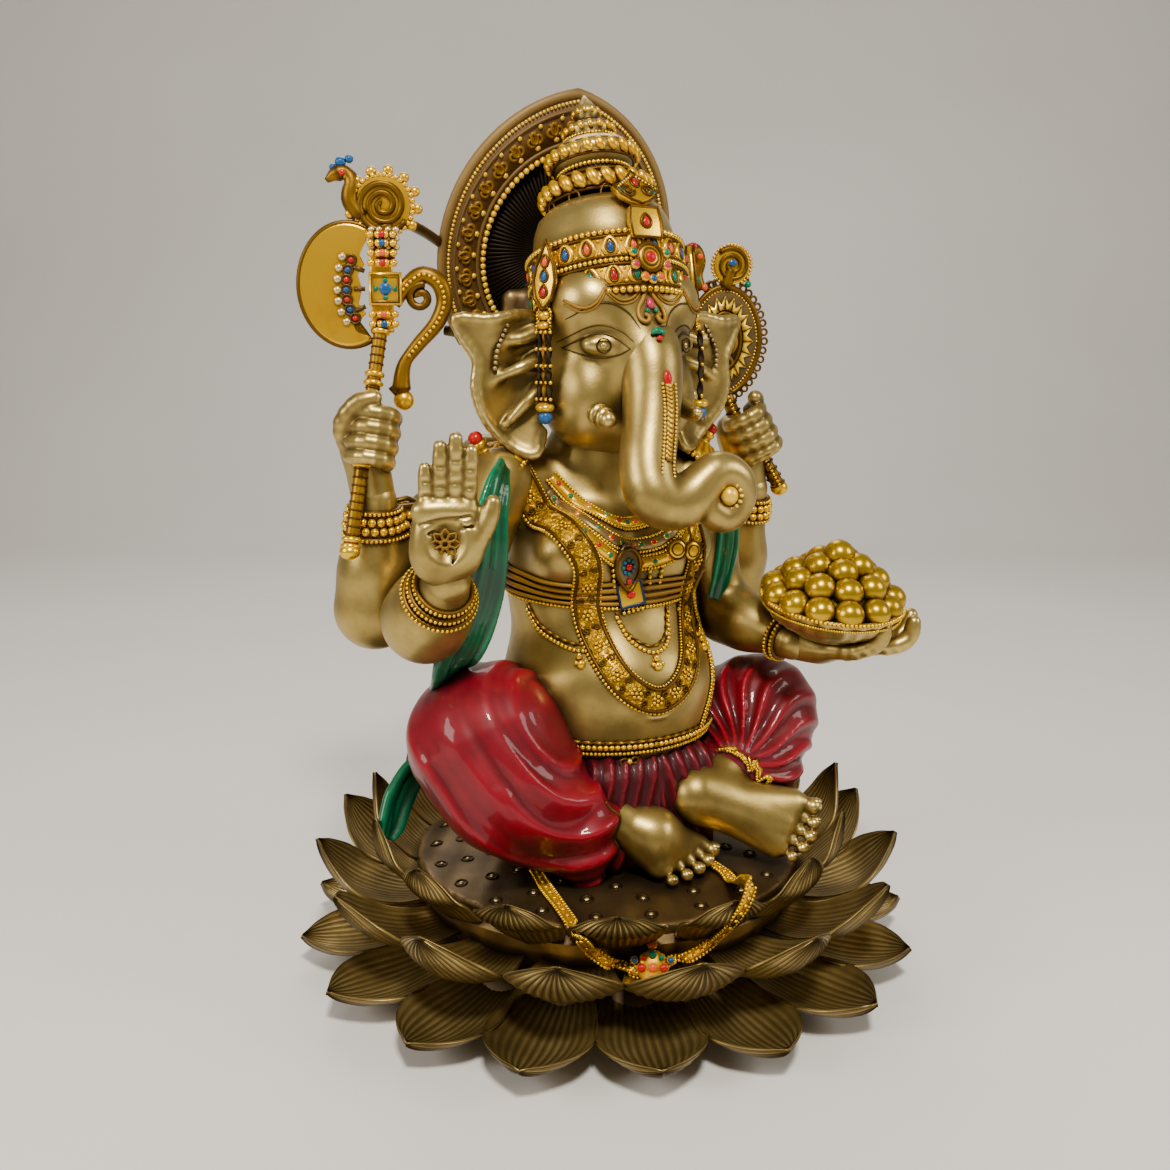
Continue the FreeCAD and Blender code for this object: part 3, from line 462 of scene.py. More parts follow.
def painted(name, dark, mid, light, metallic, rough, coat=0.0, coat_rough=0.1, grain=0.25, painted_shade_reach=0.006,
            highlight_band=(0.49, 0.54), depth=0.5, scale=1.0):
    """Paint whose colour runs from dark to light: painted shade in the hollows, from ambient occlusion, and a
    painted highlight on sharp edges, from pointiness.
    """
    material, tree, shader = new_material(name)
    # Pointiness mask: sharp edges take the light colour, a painted highlight.
    edge = tree.nodes.new("ShaderNodeNewGeometry")
    edge_highlight = ramp(tree, [(highlight_band[0] - 0.06, grey(0)), (highlight_band[0], grey(0.35)), (highlight_band[1], grey(0.8)),
            (highlight_band[1] + 0.06, grey(1))])
    link(tree, edge, "Pointiness", edge_highlight, "Fac")
    # Ambient occlusion mask: hollows take the dark colour, painted shade.
    shade = tree.nodes.new("ShaderNodeAmbientOcclusion")
    shade.samples = 6
    shade.inputs["Distance"].default_value = painted_shade_reach
    painted_shade = ramp(tree, [(0.25, grey(0)), (0.6, grey(0.55)), (0.95, grey(1))])
    link(tree, shade, "AO", painted_shade, "Fac")
    blotch = noise(tree, 38 * scale, 5.0)
    blotches = ramp(tree, [(0.3, grey(0.55)), (0.62, grey(1))])
    link(tree, blotch, "Fac", blotches, "Fac")
    # Painted shade times painted highlight, then times random blotches, picks the colour.
    shade_and_highlight = tree.nodes.new("ShaderNodeMath")
    shade_and_highlight.operation = "MULTIPLY"
    link(tree, edge_highlight, "Color", shade_and_highlight, 0)
    link(tree, painted_shade, "Color", shade_and_highlight, 1)
    tone = tree.nodes.new("ShaderNodeMath")
    tone.operation = "MULTIPLY"
    link(tree, shade_and_highlight, "Value", tone, 0)
    link(tree, blotches, "Color", tone, 1)
    colours = ramp(tree, [(0.0, dark), (0.30, tuple(0.5 * (d + m) for d, m in zip(dark, mid))), (0.46, mid),
                          (0.95, light)])
    link(tree, tone, "Value", colours, "Fac")
    link(tree, colours, "Color", shader, "Base Color")
    shader.inputs["Metallic"].default_value = metallic
    fine = noise(tree, 900 * scale, 3.0)
    gloss = tree.nodes.new("ShaderNodeMapRange")
    gloss.inputs["To Min"].default_value = rough + 0.14
    gloss.inputs["To Max"].default_value = rough - 0.08
    link(tree, tone, "Value", gloss, "Value")
    link(tree, gloss, "Result", shader, "Roughness")
    bump = tree.nodes.new("ShaderNodeBump")
    bump.inputs["Strength"].default_value = grain
    bump.inputs["Distance"].default_value = 0.0004 * depth
    link(tree, fine, "Fac", bump, "Height")
    link(tree, bump, "Normal", shader, "Normal")
    shader.inputs["Specular IOR Level"].default_value = 0.5 if metallic > 0.2 else 0.22
    shader.inputs["Coat Weight"].default_value = coat
    shader.inputs["Coat Roughness"].default_value = coat_rough
    return material


def engraved(name, dark, mid, light, pattern=330.0, deep=0.0011):
    """Gold paint over a chased surface: worm-like scrolls with dark wash between them."""
    material = painted(name, dark, mid, light, 0.78, 0.34, grain=0.2, painted_shade_reach=0.004)
    tree = material.node_tree
    shader = tree.nodes["Principled BSDF"]
    coord = tree.nodes.new("ShaderNodeTexCoord")
    wave = tree.nodes.new("ShaderNodeTexVoronoi")
    wave.feature = "SMOOTH_F1"
    wave.inputs["Scale"].default_value = pattern
    wave.inputs["Smoothness"].default_value = 0.4
    warp = noise(tree, 260, 2.0)
    mix = tree.nodes.new("ShaderNodeMix")
    mix.data_type = "VECTOR"
    mix.inputs["Factor"].default_value = 0.012
    link(tree, coord, "Object", mix, 4)
    link(tree, warp, "Color", mix, 5)
    tree.links.new(mix.outputs[1], wave.inputs["Vector"])
    lines = ramp(tree, [(0.12, grey(1)), (0.4, grey(0.55)), (0.62, grey(0))])
    link(tree, wave, "Distance", lines, "Fac")
    bump = tree.nodes.new("ShaderNodeBump")
    bump.inputs["Strength"].default_value = 0.9
    bump.inputs["Distance"].default_value = deep
    link(tree, lines, "Color", bump, "Height")
    old = shader.inputs["Normal"].links[0].from_node
    tree.links.new(old.outputs["Normal"], bump.inputs["Normal"])
    link(tree, bump, "Normal", shader, "Normal")
    before = shader.inputs["Base Color"].links[0].from_node
    wash = tree.nodes.new("ShaderNodeMix")
    wash.data_type = "RGBA"
    wash.blend_type = "MULTIPLY"
    wash.inputs["Factor"].default_value = 0.75
    tint = ramp(tree, [(0.0, (0.22, 0.14, 0.05)), (0.45, grey(0.85)), (1.0, grey(1))])
    link(tree, lines, "Color", tint, "Fac")
    tree.links.new(before.outputs["Color"], wash.inputs[6])
    tree.links.new(tint.outputs["Color"], wash.inputs[7])
    tree.links.new(wash.outputs[2], shader.inputs["Base Color"])
    return material


def stone_paint(name, dark, mid, light):
    """Smooth, slightly glossy paint for the inlaid stones."""
    return painted(name, dark, mid, light, 0.0, 0.28, coat=0.2, grain=0.02, painted_shade_reach=0.001)


# Each paint below has painted shade in its hollows (dark colour) and a painted highlight on its edges (light
# colour).
BRONZE = painted("antique_bronze_paint", (0.045, 0.024, 0.005), (0.46, 0.33, 0.095), (0.90, 0.72, 0.28),
        0.88, 0.31,
                 painted_shade_reach=0.006)
# A lighter copy of the bronze for the halo band and rim: painted light for the forward-leaning halo, which
# the lamps leave dark.
LIT_HALO_BRONZE = painted("halo_bronze_paint", (0.12, 0.06, 0.012), (0.78, 0.53, 0.15), (0.98, 0.78, 0.34), 0.3, 0.45,
                  painted_shade_reach=0.002)
PETAL = painted("petal_bronze_paint", (0.03, 0.016, 0.004), (0.34, 0.235, 0.07), (0.98, 0.80, 0.38),
        0.85, 0.34,
                painted_shade_reach=0.004)
SEATED = painted("seat_bronze_paint", (0.02, 0.011, 0.004), (0.13, 0.08, 0.03), (0.40, 0.27, 0.11), 0.8, 0.38,
                 painted_shade_reach=0.010)
GOLD = painted("bright_gold_paint", (0.10, 0.045, 0.003), (0.74, 0.39, 0.003), (0.95, 0.60, 0.02), 0.78, 0.3,
               painted_shade_reach=0.0013)
CHASED = engraved("chased_gold_paint", (0.11, 0.05, 0.004), (0.78, 0.43, 0.004), (0.95, 0.62, 0.02))
SWEET = painted("sweet_gold_paint", (0.05, 0.025, 0.002), (0.40, 0.235, 0.004), (0.70, 0.44, 0.015),
        0.8, 0.28,
                painted_shade_reach=0.006)
CRIMSON = painted("crimson_enamel", (0.03, 0.0, 0.002), (0.21, 0.0, 0.009), (0.29, 0.0, 0.014), 0.0, 0.4,
                  coat=0.35, coat_rough=0.03, grain=0.05, painted_shade_reach=0.008)
MAROON = painted("maroon_enamel", (0.015, 0.0, 0.002), (0.10, 0.0, 0.005), (0.22, 0.0, 0.010), 0.0, 0.42,
                 coat=0.12, coat_rough=0.15, grain=0.05)
EMERALD = painted("emerald_enamel", (0.0, 0.010, 0.005), (0.0, 0.09, 0.035), (0.0, 0.24, 0.10), 0.05, 0.3,
                  coat=0.5, coat_rough=0.07, grain=0.05)
PATINA = painted("dark_patina", (0.015, 0.008, 0.003), (0.10, 0.06, 0.022), (0.42, 0.29, 0.11), 0.75, 0.42,
        painted_shade_reach=0.006)
RED = stone_paint("red_stone_paint", (0.08, 0.0, 0.0), (0.42, 0.001, 0.003), (0.52, 0.006, 0.006))
ORANGE = stone_paint("coral_stone_paint", (0.2, 0.03, 0.0), (0.65, 0.07, 0.008), (0.74, 0.13, 0.02))
GREEN = stone_paint("green_stone_paint", (0.0, 0.03, 0.02), (0.0, 0.12, 0.06), (0.0, 0.20, 0.10))
BLUE = stone_paint("blue_stone_paint", (0.0, 0.01, 0.05), (0.006, 0.06, 0.20), (0.02, 0.12, 0.30))
PINK = stone_paint("pink_stone_paint", (0.15, 0.0, 0.03), (0.45, 0.008, 0.06), (0.6, 0.04, 0.12))
YELLOW = painted("pale_gold_paint", (0.25, 0.12, 0.004), (0.82, 0.46, 0.01), (0.98, 0.66, 0.05), 0.4, 0.35,
        painted_shade_reach=0.001)
SILVER = painted("pale_metal_paint", (0.10, 0.06, 0.02), (0.60, 0.44, 0.20), (0.90, 0.74, 0.42), 0.85, 0.32,
        painted_shade_reach=0.002)
FELT = painted("black_felt", (0.008, 0.008, 0.008), (0.02, 0.02, 0.02), (0.045, 0.045, 0.045), 0.0, 0.9,
        grain=0.8, depth=2)


# ------------------------------------------------------------------ landmarks

VIEW = unit(vec(-0.454, -0.891, 0.0))
SIDE = unit(vec(0.891, -0.454, 0.0))
UP = vec(0, 0, 1)

SHOULDER = {"front_right": vec(-50, 8, 226), "rear_right": vec(-50, 24, 230),
            "front_left": vec(46, 8, 222), "rear_left": vec(50, 24, 226)}
ELBOW = {"front_right": vec(-95, -16, 173), "rear_right": vec(-105, 22, 171),
         "front_left": vec(62, -6, 158), "rear_left": vec(86, 26, 160)}
WRIST = {"front_right": vec(-95, -41, 192), "rear_right": vec(-106, 15, 218),
         "front_left": vec(72, -43, 151), "rear_left": vec(87, 14, 212)}
ARM_RADII = {"front_right": (16, 18, 10.5), "rear_right": (16, 17, 11),
             "front_left": (14, 14, 9.5), "rear_left": (14, 15, 10.5)}
SHAFT_LOW, SHAFT_HIGH = vec(-121, 2, 203), vec(-99, 18, 296)


# ------------------------------------------------------------------ lotus

def petal_mesh(heap, angle, path, lean=0.0, cup=0.35, rib=0.45, ripple=0.0):
    """One thick ribbed petal.  path entries are (distance from the axis, z, half width)."""
    out = vec(sin(angle), -cos(angle), 0)
    across = vec(cos(angle), sin(angle), 0)
    line = spline([(rho, z, w) for rho, z, w in path], 26)
    line[:, 2] = np.maximum(line[:, 2], 0.4)
    n, m = len(line), 53
    u = np.linspace(-1, 1, m)
    centre = line[:, :1] * out + line[:, 1:2] * UP
    t = np.gradient(centre, axis=0)
    t /= np.linalg.norm(t, axis=1, keepdims=True)
    face = np.cross(across, t)
    face *= np.sign(face[:, 2].mean() or 1)
    if face[n // 2] @ UP < 0:
        face = -face
    s = np.linspace(0, 1, n)
    ridge = np.abs(((u * 6.5 + 0.5) % 1) - 0.5) * 2
    layers = []
    for sign in (1, -1):
        thick = 1.5 * (1 - 0.55 * np.abs(u) ** 3)[None] * (1 - 0.6 * s ** 4)[:, None]
        fan = rib * (ridge[None] - 0.5) * (0.35 + 0.65 * s[:, None]) * (1 - u[None] ** 6)
        height = cup * line[:, 2:3] * (u[None] ** 2 - 0.25) + sign * thick + fan * (1 if sign < 0 else 0.55)
        height = height - (1.6 * np.exp(-(u[None] / 0.06) ** 2) * (1 - s[:, None]) * 0.4 if sign < 0 else 0)
        height = height + ripple * np.sin(7 * s[:, None] + 3 * u[None])
        pts = (centre[:, None] + across * (u[None, :, None] * line[:, None, 2:3]) + face[:, None]
                * height[..., None]
               + across * (lean * s[:, None, None] ** 2))
        layers.append(pts.reshape(-1, 3))
    verts = np.vstack(layers)
    faces = []
    for i in range(n - 1):
        for j in range(m - 1):
            a = i * m + j
            faces.append((a, a + 1, a + m + 1, a + m))
            b = a + n * m
            faces.append((b, b + m, b + m + 1, b + 1))
    rim = [(i, 0) for i in range(n)] + [(n - 1, j) for j in range(1, m)] + [(i, m - 1)
            for i in range(n - 2, -1, -1)]
    rim += [(0, j) for j in range(m - 2, 0, -1)]
    ids = [i * m + j for i, j in rim]
    k = len(ids)
    for q in range(k):
        a, b = ids[q], ids[(q + 1) % k]
        faces.append((a, a + n * m, b + n * m, b))
    heap.add(verts, faces)


def lotus():
    lower = [(80, 15, 12), (100, 12, 19), (117, 10.5, 23), (131, 11.5, 19.5), (140.5, 14, 11), (146, 17, 0.6)]
    middle = [(78, 29, 12), (100, 28, 19), (118, 34, 24), (129, 44, 21), (136, 54, 11), (139.5, 61, 0.6)]
    upper = [(78, 41, 11), (92, 43, 16), (103, 53, 20), (110, 67, 18.5), (113, 83, 11), (115, 97, 0.6)]
    for name, count, first, path, cup, rib in (("lower", 17, 23, lower, 0.36, 1.2),
                                               ("middle", 15, 35, middle, 0.26, 1.25),
                                               ("upper", 15, 47, upper, 0.18, 1.2)):
        heap = Heap()
        for k in range(count):
            wob = RNG.uniform(-1, 1, 6)
            bent = []
            for i, (rho, z, w) in enumerate(path):
                grow = max(i - 2, 0) / 3
                front = 0.5 + 0.5 * cos(radians(first + 360 * k / count) + radians(27))
                drop = {"lower": 0, "middle": 6.0, "upper": 32.0}[name] * grow * front
                bent.append((rho + wob[0] * 1.2 * grow
                        - (4 if name == "upper" else 3 if name == "middle" else 0) * front * grow,
                             z + wob[1] * 1.4 * grow - drop, w * (1 + 0.04 * wob[2])))
            petal_mesh(heap, radians(first + 360 * k / count + wob[3] * 1.2), bent, lean=wob[4] * 1.5,
                    cup=cup, rib=rib,
                       ripple=0.25 * wob[5])
        heap.done("lotus_petals_" + name, PETAL, ("lotus_petals_" + name,), "bronze")


def seat():
    """The uneven seed-head that the figure sits on, with small ringed seeds."""
    def field(p):
        r = np.hypot(p[..., 0], p[..., 1])
        top = 54 - 4.6 * np.clip((r - 38) / 50, 0, 1) ** 1.6
        wave = 0.55 * np.sin(p[..., 0] * 0.13 + 1) * np.sin(p[..., 1] * 0.11) + 0.3 * np.sin(p[..., 0]
                * 0.31 - p[..., 1] * 0.23)
        body = np.maximum(p[..., 2] - top - wave, 40 - p[..., 2])
        return np.maximum(body, r - 90.5) * 0.9
    sculpt("lotus_seat", field, (-93, -93, 38), (93, 93, 58), 1.6, SEATED)
    heap = Heap()
    spots = [(R * sin(a), -R * cos(a)) for R, n, o in ((82, 22, 0.1), (70, 18, 0.25), (58, 15, 0.0))
             for a in (2 * pi * (k + o) / n for k in range(n))]
    spots = np.array([(x, y, 60.0) for x, y in spots])
    spots = strike(field, spots, (0, 0, -1), 30)
    for p in spots:
        normal = slope(field, p[None])[0]
        side = axes((1, 0, 0), normal)
        ring = [p + 2.6 * (side[:, 0] * cos(a) + side[:, 1] * sin(a))
                for a in np.linspace(0, 2 * pi, 14, endpoint=False)]
        sweep(heap, ring, rod_shape(0.55, 6), normal, closed=True)
        bead(heap, p, (1.2, 1.2, 0.8), side)
    heap.done("seat_seeds", PETAL, slot="bronze")


# ------------------------------------------------------------------ body

def torso_field(p):
    d = ellipsoid(p, (0, 6, 76), (54, 38, 34))
    d = melt(d, ellipsoid(p, (0, -2, 134), (50, 48.5, 38)), 16)
    d = melt(d, ellipsoid(p, (0, 2, 112), (49, 44, 30)), 12)
    d = melt(d, ellipsoid(p, (-1, 4, 180), (46, 36, 42)), 18)
    d = melt(d, capsule(p, (-38, 16, 220), (38, 16, 220), 20), 16)
    for s in (-1, 1):
        d = melt(d, ellipsoid(p, (s * 23 - 1, -17, 196), (21, 18, 17)), 9)
    d = melt(d, capsule(p, (0, 13, 220), (0, 8, 246), 24, 22), 10)
    nipple = vec(-34, -29.5, 193)
    d = melt(d, ball(p, nipple, 1.9), 2.0)
    navel = vec(-1, -49, 129)
    d = carve(d, ellipsoid(p, navel, (4.2, 3, 1.5)), 2.0)
    d = melt(d, ellipsoid(p, navel + (0, -0.4, 2.6), (4.6, 1.6, 1.3)), 1.6)
    d = melt(d, ellipsoid(p, navel + (0, 0.4, -2.8), (4.0, 1.4, 1.0)), 1.6)
    return d


def folds(phase, width, sharp=1.5):
    """A ridge profile from 0 to 1 that repeats each width."""
    x = np.abs(((phase / width) % 1) - 0.5) * 2
    return (1 - x) ** sharp


def right_leg_field(p):
    hip, knee, ankle = vec(-24, 4, 96), vec(-67, -14, 114), vec(-35, -42, 81)
    d = capsule(p, hip, knee, 30, 33)
    d = melt(d, capsule(p, knee, vec(-62, -26, 96), 33, 27), 12)
    d = melt(d, capsule(p, vec(-62, -26, 96), ankle, 27, 16), 14)
    d = melt(d, capsule(p, vec(-46, -28, 74), vec(-36, -42, 64), 20, 11), 12)
    d = melt(d, capsule(p, vec(-35, -45, 80), vec(-31, -46, 59), 8, 1.5), 8)
    centre = vec(-43, -38, 131)
    r = np.linalg.norm(p - centre, axis=-1)
    wander = 2.2 * np.sin(p[..., 0] * 0.07 + 1.3) + 1.6 * np.sin(p[..., 2] * 0.09 + p[..., 1] * 0.05)
    ridge = 0.5 - 0.5 * np.cos((r + wander) * 2 * pi / 14.5)
    ridge = ridge ** (1.3 + 0.5 * np.sin(r * 0.11))
    fine = 0.5 - 0.5 * np.cos((r + 1.6 * wander + 4) * 2 * pi / 6.1)
    smooth = np.clip((p[..., 2] - 106) / 26, 0, 1) * np.clip((-p[..., 0] - 46) / 22, 0, 1)
    fade = np.clip((r - 13) / 16, 0, 1) * (1 - 0.75 * smooth)
    d = d - (2.7 * ridge + 0.35 * fine) * fade + 0.9
    return overlap(d, 50.5 - p[..., 2], 2)


def left_leg_field(p):
    hip, knee = vec(30, 4, 92), vec(77, -13, 107)
    d = capsule(p, hip, knee, 27, 28.5)
    d = melt(d, capsule(p, knee, vec(64, -30, 88), 26, 20), 10)
    d = melt(d, capsule(p, vec(64, -30, 88), vec(46, -36, 96), 19, 12), 10)
    source = vec(40, -52, 96)
    q = p - source
    a = np.arctan2(q[..., 2], q @ SIDE)
    reach = np.linalg.norm(q, axis=-1)
    a = a + 0.006 * reach + 0.08 * np.sin(reach * 0.11)
    a = a + 0.10 * np.sin(reach * 0.06 + 1.1)
    ridge = (0.5 - 0.5 * np.cos(a * 2 * pi / 0.34)) ** 1.5
    fine = 0.5 - 0.5 * np.cos((a + 0.05) * 2 * pi / 0.15)
    fade = np.clip((reach - 6) / 22, 0, 1) * np.clip((78 - reach) / 26, 0.3, 1)
    d = d - (2.3 * ridge + 0.3 * fine) * fade + 0.8
    return overlap(d, 50.5 - p[..., 2], 2)


def pleats_field(p):
    d = slab(p, vec(2, -30, 80), (34, 17, 27), edge=12)
    across = p @ unit(vec(1, -0.1, 0)) + 0.25 * (p[..., 2] - 100) * np.sign(p[..., 0] - 2)
    ridge = folds(across, 7.2, 1.3)
    d = d - 2.4 * ridge * np.clip((118 - p[..., 2]) / 12, 0, 1)
    return overlap(d, 50.5 - p[..., 2], 2)


def hip_cloth_field(p):
    """The lower garment drawn round the back of the hips, gathered under the belt."""
    turn = np.arctan2(p[..., 0], p[..., 1])
    gather = 0.5 - 0.5 * np.cos(turn * 34 + 0.05 * p[..., 2])
    d = torso_field(p) - 1.7 - 0.9 * gather * np.clip((112 - p[..., 2]) / 40, 0.25, 1)
    d = overlap(d, p[..., 2] - 108, 2)
    d = overlap(d, 50.5 - p[..., 2], 2)
    return overlap(d, -6 - p[..., 1], 2)


def foot_field(heel, ankle, toes, radii):
    """A foot from leg to toes; each toe is (joint, tip)."""
    heel, ankle = np.asarray(heel, float), np.asarray(ankle, float)

    def field(p):
        ball_in, ball_out = vec(*toes[0][0]), vec(*toes[-1][0])
        d = capsule(p, ankle, heel, 10.5, 11)
        d = melt(d, capsule(p, heel, ball_in, 10, 7.2), 8)
        d = melt(d, capsule(p, heel, ball_out, 9, 6), 8)
        d = melt(d, capsule(p, heel, 0.5 * (ball_in + ball_out), 10, 6.5), 8)
        for (joint, tip), r in zip(toes, radii):
            joint, tip = vec(*joint), vec(*tip)
            mid = 0.5 * (joint + tip) + (0, 0, 0.9)
            toe = melt(capsule(p, joint, mid, r * 0.95, r * 0.86), ellipsoid(p, tip, (r, r, r * 0.92)), 1.6)
            d = melt(d, toe, 1.7)
        return d
    return field


def toenails(heap, toes, radii, up):
    for (joint, tip), r in zip(toes, radii):
        joint, tip = vec(*joint), vec(*tip)
        way = unit(tip - joint)
        lift = unit(np.asarray(up, float) - way * (np.asarray(up, float) @ way))
        turn = axes(way, lift)
        bead(heap, tip + way * r * 0.35 + lift * r * 0.72, (r * 0.55, r * 0.5, r * 0.28), turn, fine=True)


R_TOES = [((20, -46, 61), (27, -50.5, 59)), ((15, -51, 60.5), (20.5, -58, 58)),
        ((9, -54, 60), (13.5, -62, 57.3)),
          ((3, -56, 60), (5.5, -65, 57)), ((-3, -57, 60), (-2.5, -66, 56.5))]
L_TOES = [((68, -55, 76), (76, -61, 75)), ((67, -58, 70), (74, -65, 68.5)), ((64, -60, 66), (70, -68, 63.8)),
          ((60, -61, 62.5), (65, -69, 59.6)), ((55, -61, 60), (59, -69, 56.5))]
TOE_RADII = (4.3, 3.3, 3.1, 2.9, 2.7)


def seated_body():
    sculpt("torso", torso_field, (-62, -56, 48), (62, 50, 252), 1.15, BRONZE, ("torso",))
    sculpt("right_leg", right_leg_field, (-108, -76, 48), (14, 44, 156), 1.1, CRIMSON, ("right_leg",))
    sculpt("left_leg", left_leg_field, (4, -66, 48), (114, 42, 146), 1.1, CRIMSON, ("left_leg",))
    sculpt("hip_cloth", hip_cloth_field, (-66, -12, 46), (66, 56, 114), 1.2, CRIMSON, ())
    sculpt("front_pleats", pleats_field, (-40, -56, 48), (44, -8, 118), 1.0, MAROON, ("front_pleats",))
    right = foot_field((-3, -48, 70.5), (-34, -34, 88), R_TOES, TOE_RADII)
    left = foot_field((22, -44, 84.5), (50, -34, 95), L_TOES, TOE_RADII)
    sculpt("right_foot", right, (-48, -76, 50), (38, -18, 102), 0.8, BRONZE, ("right_foot",))
    sculpt("left_foot", left, (8, -78, 48), (86, -18, 110), 0.8, BRONZE, ("left_foot",))
    nails = Heap()
    toenails(nails, R_TOES, TOE_RADII, (0, -0.3, 1))
    toenails(nails, L_TOES, TOE_RADII, (0.5, -0.4, 0.8))
    nails.done("toenails", BRONZE, slot="bronze")


# ------------------------------------------------------------------ head

def head_field(p):
    d = ellipsoid(p, (0, 3, 286), (34, 34, 40))
    d = melt(d, ellipsoid(p, (0, -3, 262), (31, 29, 25)), 12)
    for s in (-1, 1):
        d = melt(d, ellipsoid(p, (s * 17, -13, 303), (18, 20, 18)), 10)
        d = melt(d, ellipsoid(p, (s * 20, -12, 263), (14, 18, 20)), 8)
        d = carve(d, ellipsoid(p, (s * 19.5, -36.5, 286), (10, 7, 5.5)), 7)
        d = melt(d, ellipsoid(p, (s * 19.5, -27.2, 286), (7.4, 5.0, 4.2)), 2.0)
    d = melt(d, capsule(p, (0, -20, 298), (1, -30, 282), 16, 14.5), 12)
    return d


def brow_lines(heap):
    """Carved lids and brow ridges, laid on the head."""
    for s in (-1, 1):
        upper = [(s * 10.5, 284.2), (s * 14, 288.2), (s * 19.5, 290.6), (s * 25, 289.0), (s * 30.5, 284.6)]
        lower = [(s * 10.5, 284.2), (s * 14.5, 281.6), (s * 20, 280.6), (s * 25.5, 282.0), (s * 30.5, 284.6)]
        crease = [(s * 9, 287.0), (s * 13, 291.6), (s * 19.5, 294.0), (s * 26, 292.4), (s * 32, 287.0)]
        brow = [(s * 6, 292.5), (s * 10, 299.0), (s * 17, 303.0), (s * 25, 302.0), (s * 32, 296.5)]
        for line, r in ((upper, 0.62), (lower, 0.48), (crease, 0.4), (brow, 0.5)):
            pts = spline([(x, -80, z) for x, z in line], 34)
            hit = strike(head_field, pts, (0, 1, 0))
            thin = np.sin(np.linspace(0.12, pi - 0.12, len(hit))) ** 0.5
            sweep(heap, hit, rod_shape(r, 8), slope(head_field, hit), scale=thin)
        eye = strike(head_field, [(s * 19.8, -80, 285.6)], (0, 1, 0))[0]
        normal = slope(head_field, eye[None])[0]
        turn = axes((1, 0, 0), normal)
        ring = [eye + normal * 0.35 + 3.0 * (turn[:, 0] * cos(a) + turn[:, 1] * sin(a))
                for a in np.linspace(0, 2 * pi, 22, endpoint=False)]
        sweep(heap, ring, rod_shape(0.34, 6), normal, closed=True)
        bead(heap, eye + normal * 0.1, (1.35, 1.35, 0.7), turn, fine=True)


TRUNK = [(3, -24, 290), (2, -34, 279), (0, -39.5, 265), (-4, -45, 250), (-8, -50, 237), (-8.5, -55, 226),
         (-2, -58, 221), (6, -60, 223), (13, -61, 230), (20, -61.5, 234.5), (28, -62, 231), (30.5, -62, 223),
         (26, -62, 215.5), (19, -62, 215), (14.5, -62.5, 220)]
TRUNK_R = [13.8, 12.8, 11.6, 11, 10.8, 10.7, 10.2, 9.3, 7.7, 6.8, 6.4, 6.1, 5.8, 5.4, 4.6]


def trunk_field(p):
    return TRUNK_TUBE(p)


TRUNK_TUBE = march(TRUNK, TRUNK_R, 46, 3.0)


def whole_head(p):
    return melt(head_field(p), trunk_field(p), 6)


def ear_field(s):
    outline = np.array([(34, 3, 298), (46, 3, 299), (58, 5, 297), (71, 8, 297), (68, 8, 288), (63, 7, 279),
            (64, 6, 268),
                        (61, 5, 257), (54, 3, 248), (45, -1, 240), (38, -5, 239), (34, -6, 248)],
                        float) * (s, 1, 1)
    ribs = [np.array([(33, 0, 292), (46, -1, 288), (60, 4, 288)], float) * (s, 1, 1),
            np.array([(33, 0, 280), (45, -3, 276), (58, 3, 270)], float) * (s, 1, 1),
            np.array([(33, -2, 268), (42, -5, 262), (50, 0, 252)], float) * (s, 1, 1)]
    rim = spline(outline, 34)
    poly = rim[:, [0, 2]]

    def field(p):
        x, z = p[..., 0], p[..., 2]
        inside = np.zeros(x.shape, bool)
        best = np.full(x.shape, 1e9)
        n = len(poly)
        for i in range(n):
            a, b = poly[i], poly[(i + 1) % n]
            e = b - a
            q = np.stack([x - a[0], z - a[1]], -1)
            t = np.clip((q @ e) / (e @ e), 0, 1)
            best = np.minimum(best, ((q - t[..., None] * e) ** 2).sum(-1))
            cond = (a[1] > z) != (b[1] > z)
            cross = (b[0] - a[0]) * (z - a[1]) / (b[1] - a[1] + 1e-12) + a[0]
            inside ^= cond & (x < cross)
        flat = np.sqrt(best) * np.where(inside, -1, 1)
        u = np.abs(x) - 34
        middle = 0.5 + 0.12 * u + 2.4 * np.sin(u * 0.16 + (z - 270) * 0.045) - 0.0035 * (z - 272) ** 2
        sheet = np.abs(p[..., 1] - middle) - 1.7
        d = -melt(-flat, -sheet, 2.5)
        d = melt(d, chain(p, np.c_[rim[:, 0], 0.5 + 0.12 * (np.abs(rim[:, 0]) - 34) + 2.4 * np.sin(
            (np.abs(rim[:, 0]) - 34) * 0.16 + (rim[:, 2] - 270) * 0.045) - 0.0035 * (rim[:, 2] - 272) ** 2,
            rim[:, 2]],
            np.full(len(rim), 1.9), 1.5), 2.5)
        for rib in ribs:
            line = spline(rib, 10)
            d = melt(d, chain(p, line, np.linspace(3.0, 1.2, 10), 2), 3.5)
        return d * 0.85
    return field


def tusks():
    right = lambda p: melt(melt(capsule(p, (-21, -26, 258), (-19.7, -37, 255), 4.6, 3.7),
                                torus(p, (-20.6, -31, 256.8), (0.1, -1, -0.25), 4.2, 0.8), 1.2),
                           torus(p, (-20.1, -35, 255.8), (0.1, -1, -0.25), 3.8, 0.7), 1.2)
    left = lambda p: chain(p, spline([(17, -26, 262), (18, -36, 259), (18, -44, 257), (16, -50, 258)], 9),
                           np.linspace(4.6, 2.0, 9), 2)
    sculpt("right_tusk", right, (-30, -48, 248), (-10, -22, 266), 0.6, BRONZE, ("right_tusk",))
    sculpt("left_tusk", left, (8, -56, 250), (28, -20, 270), 0.7, BRONZE, ("left_tusk",))


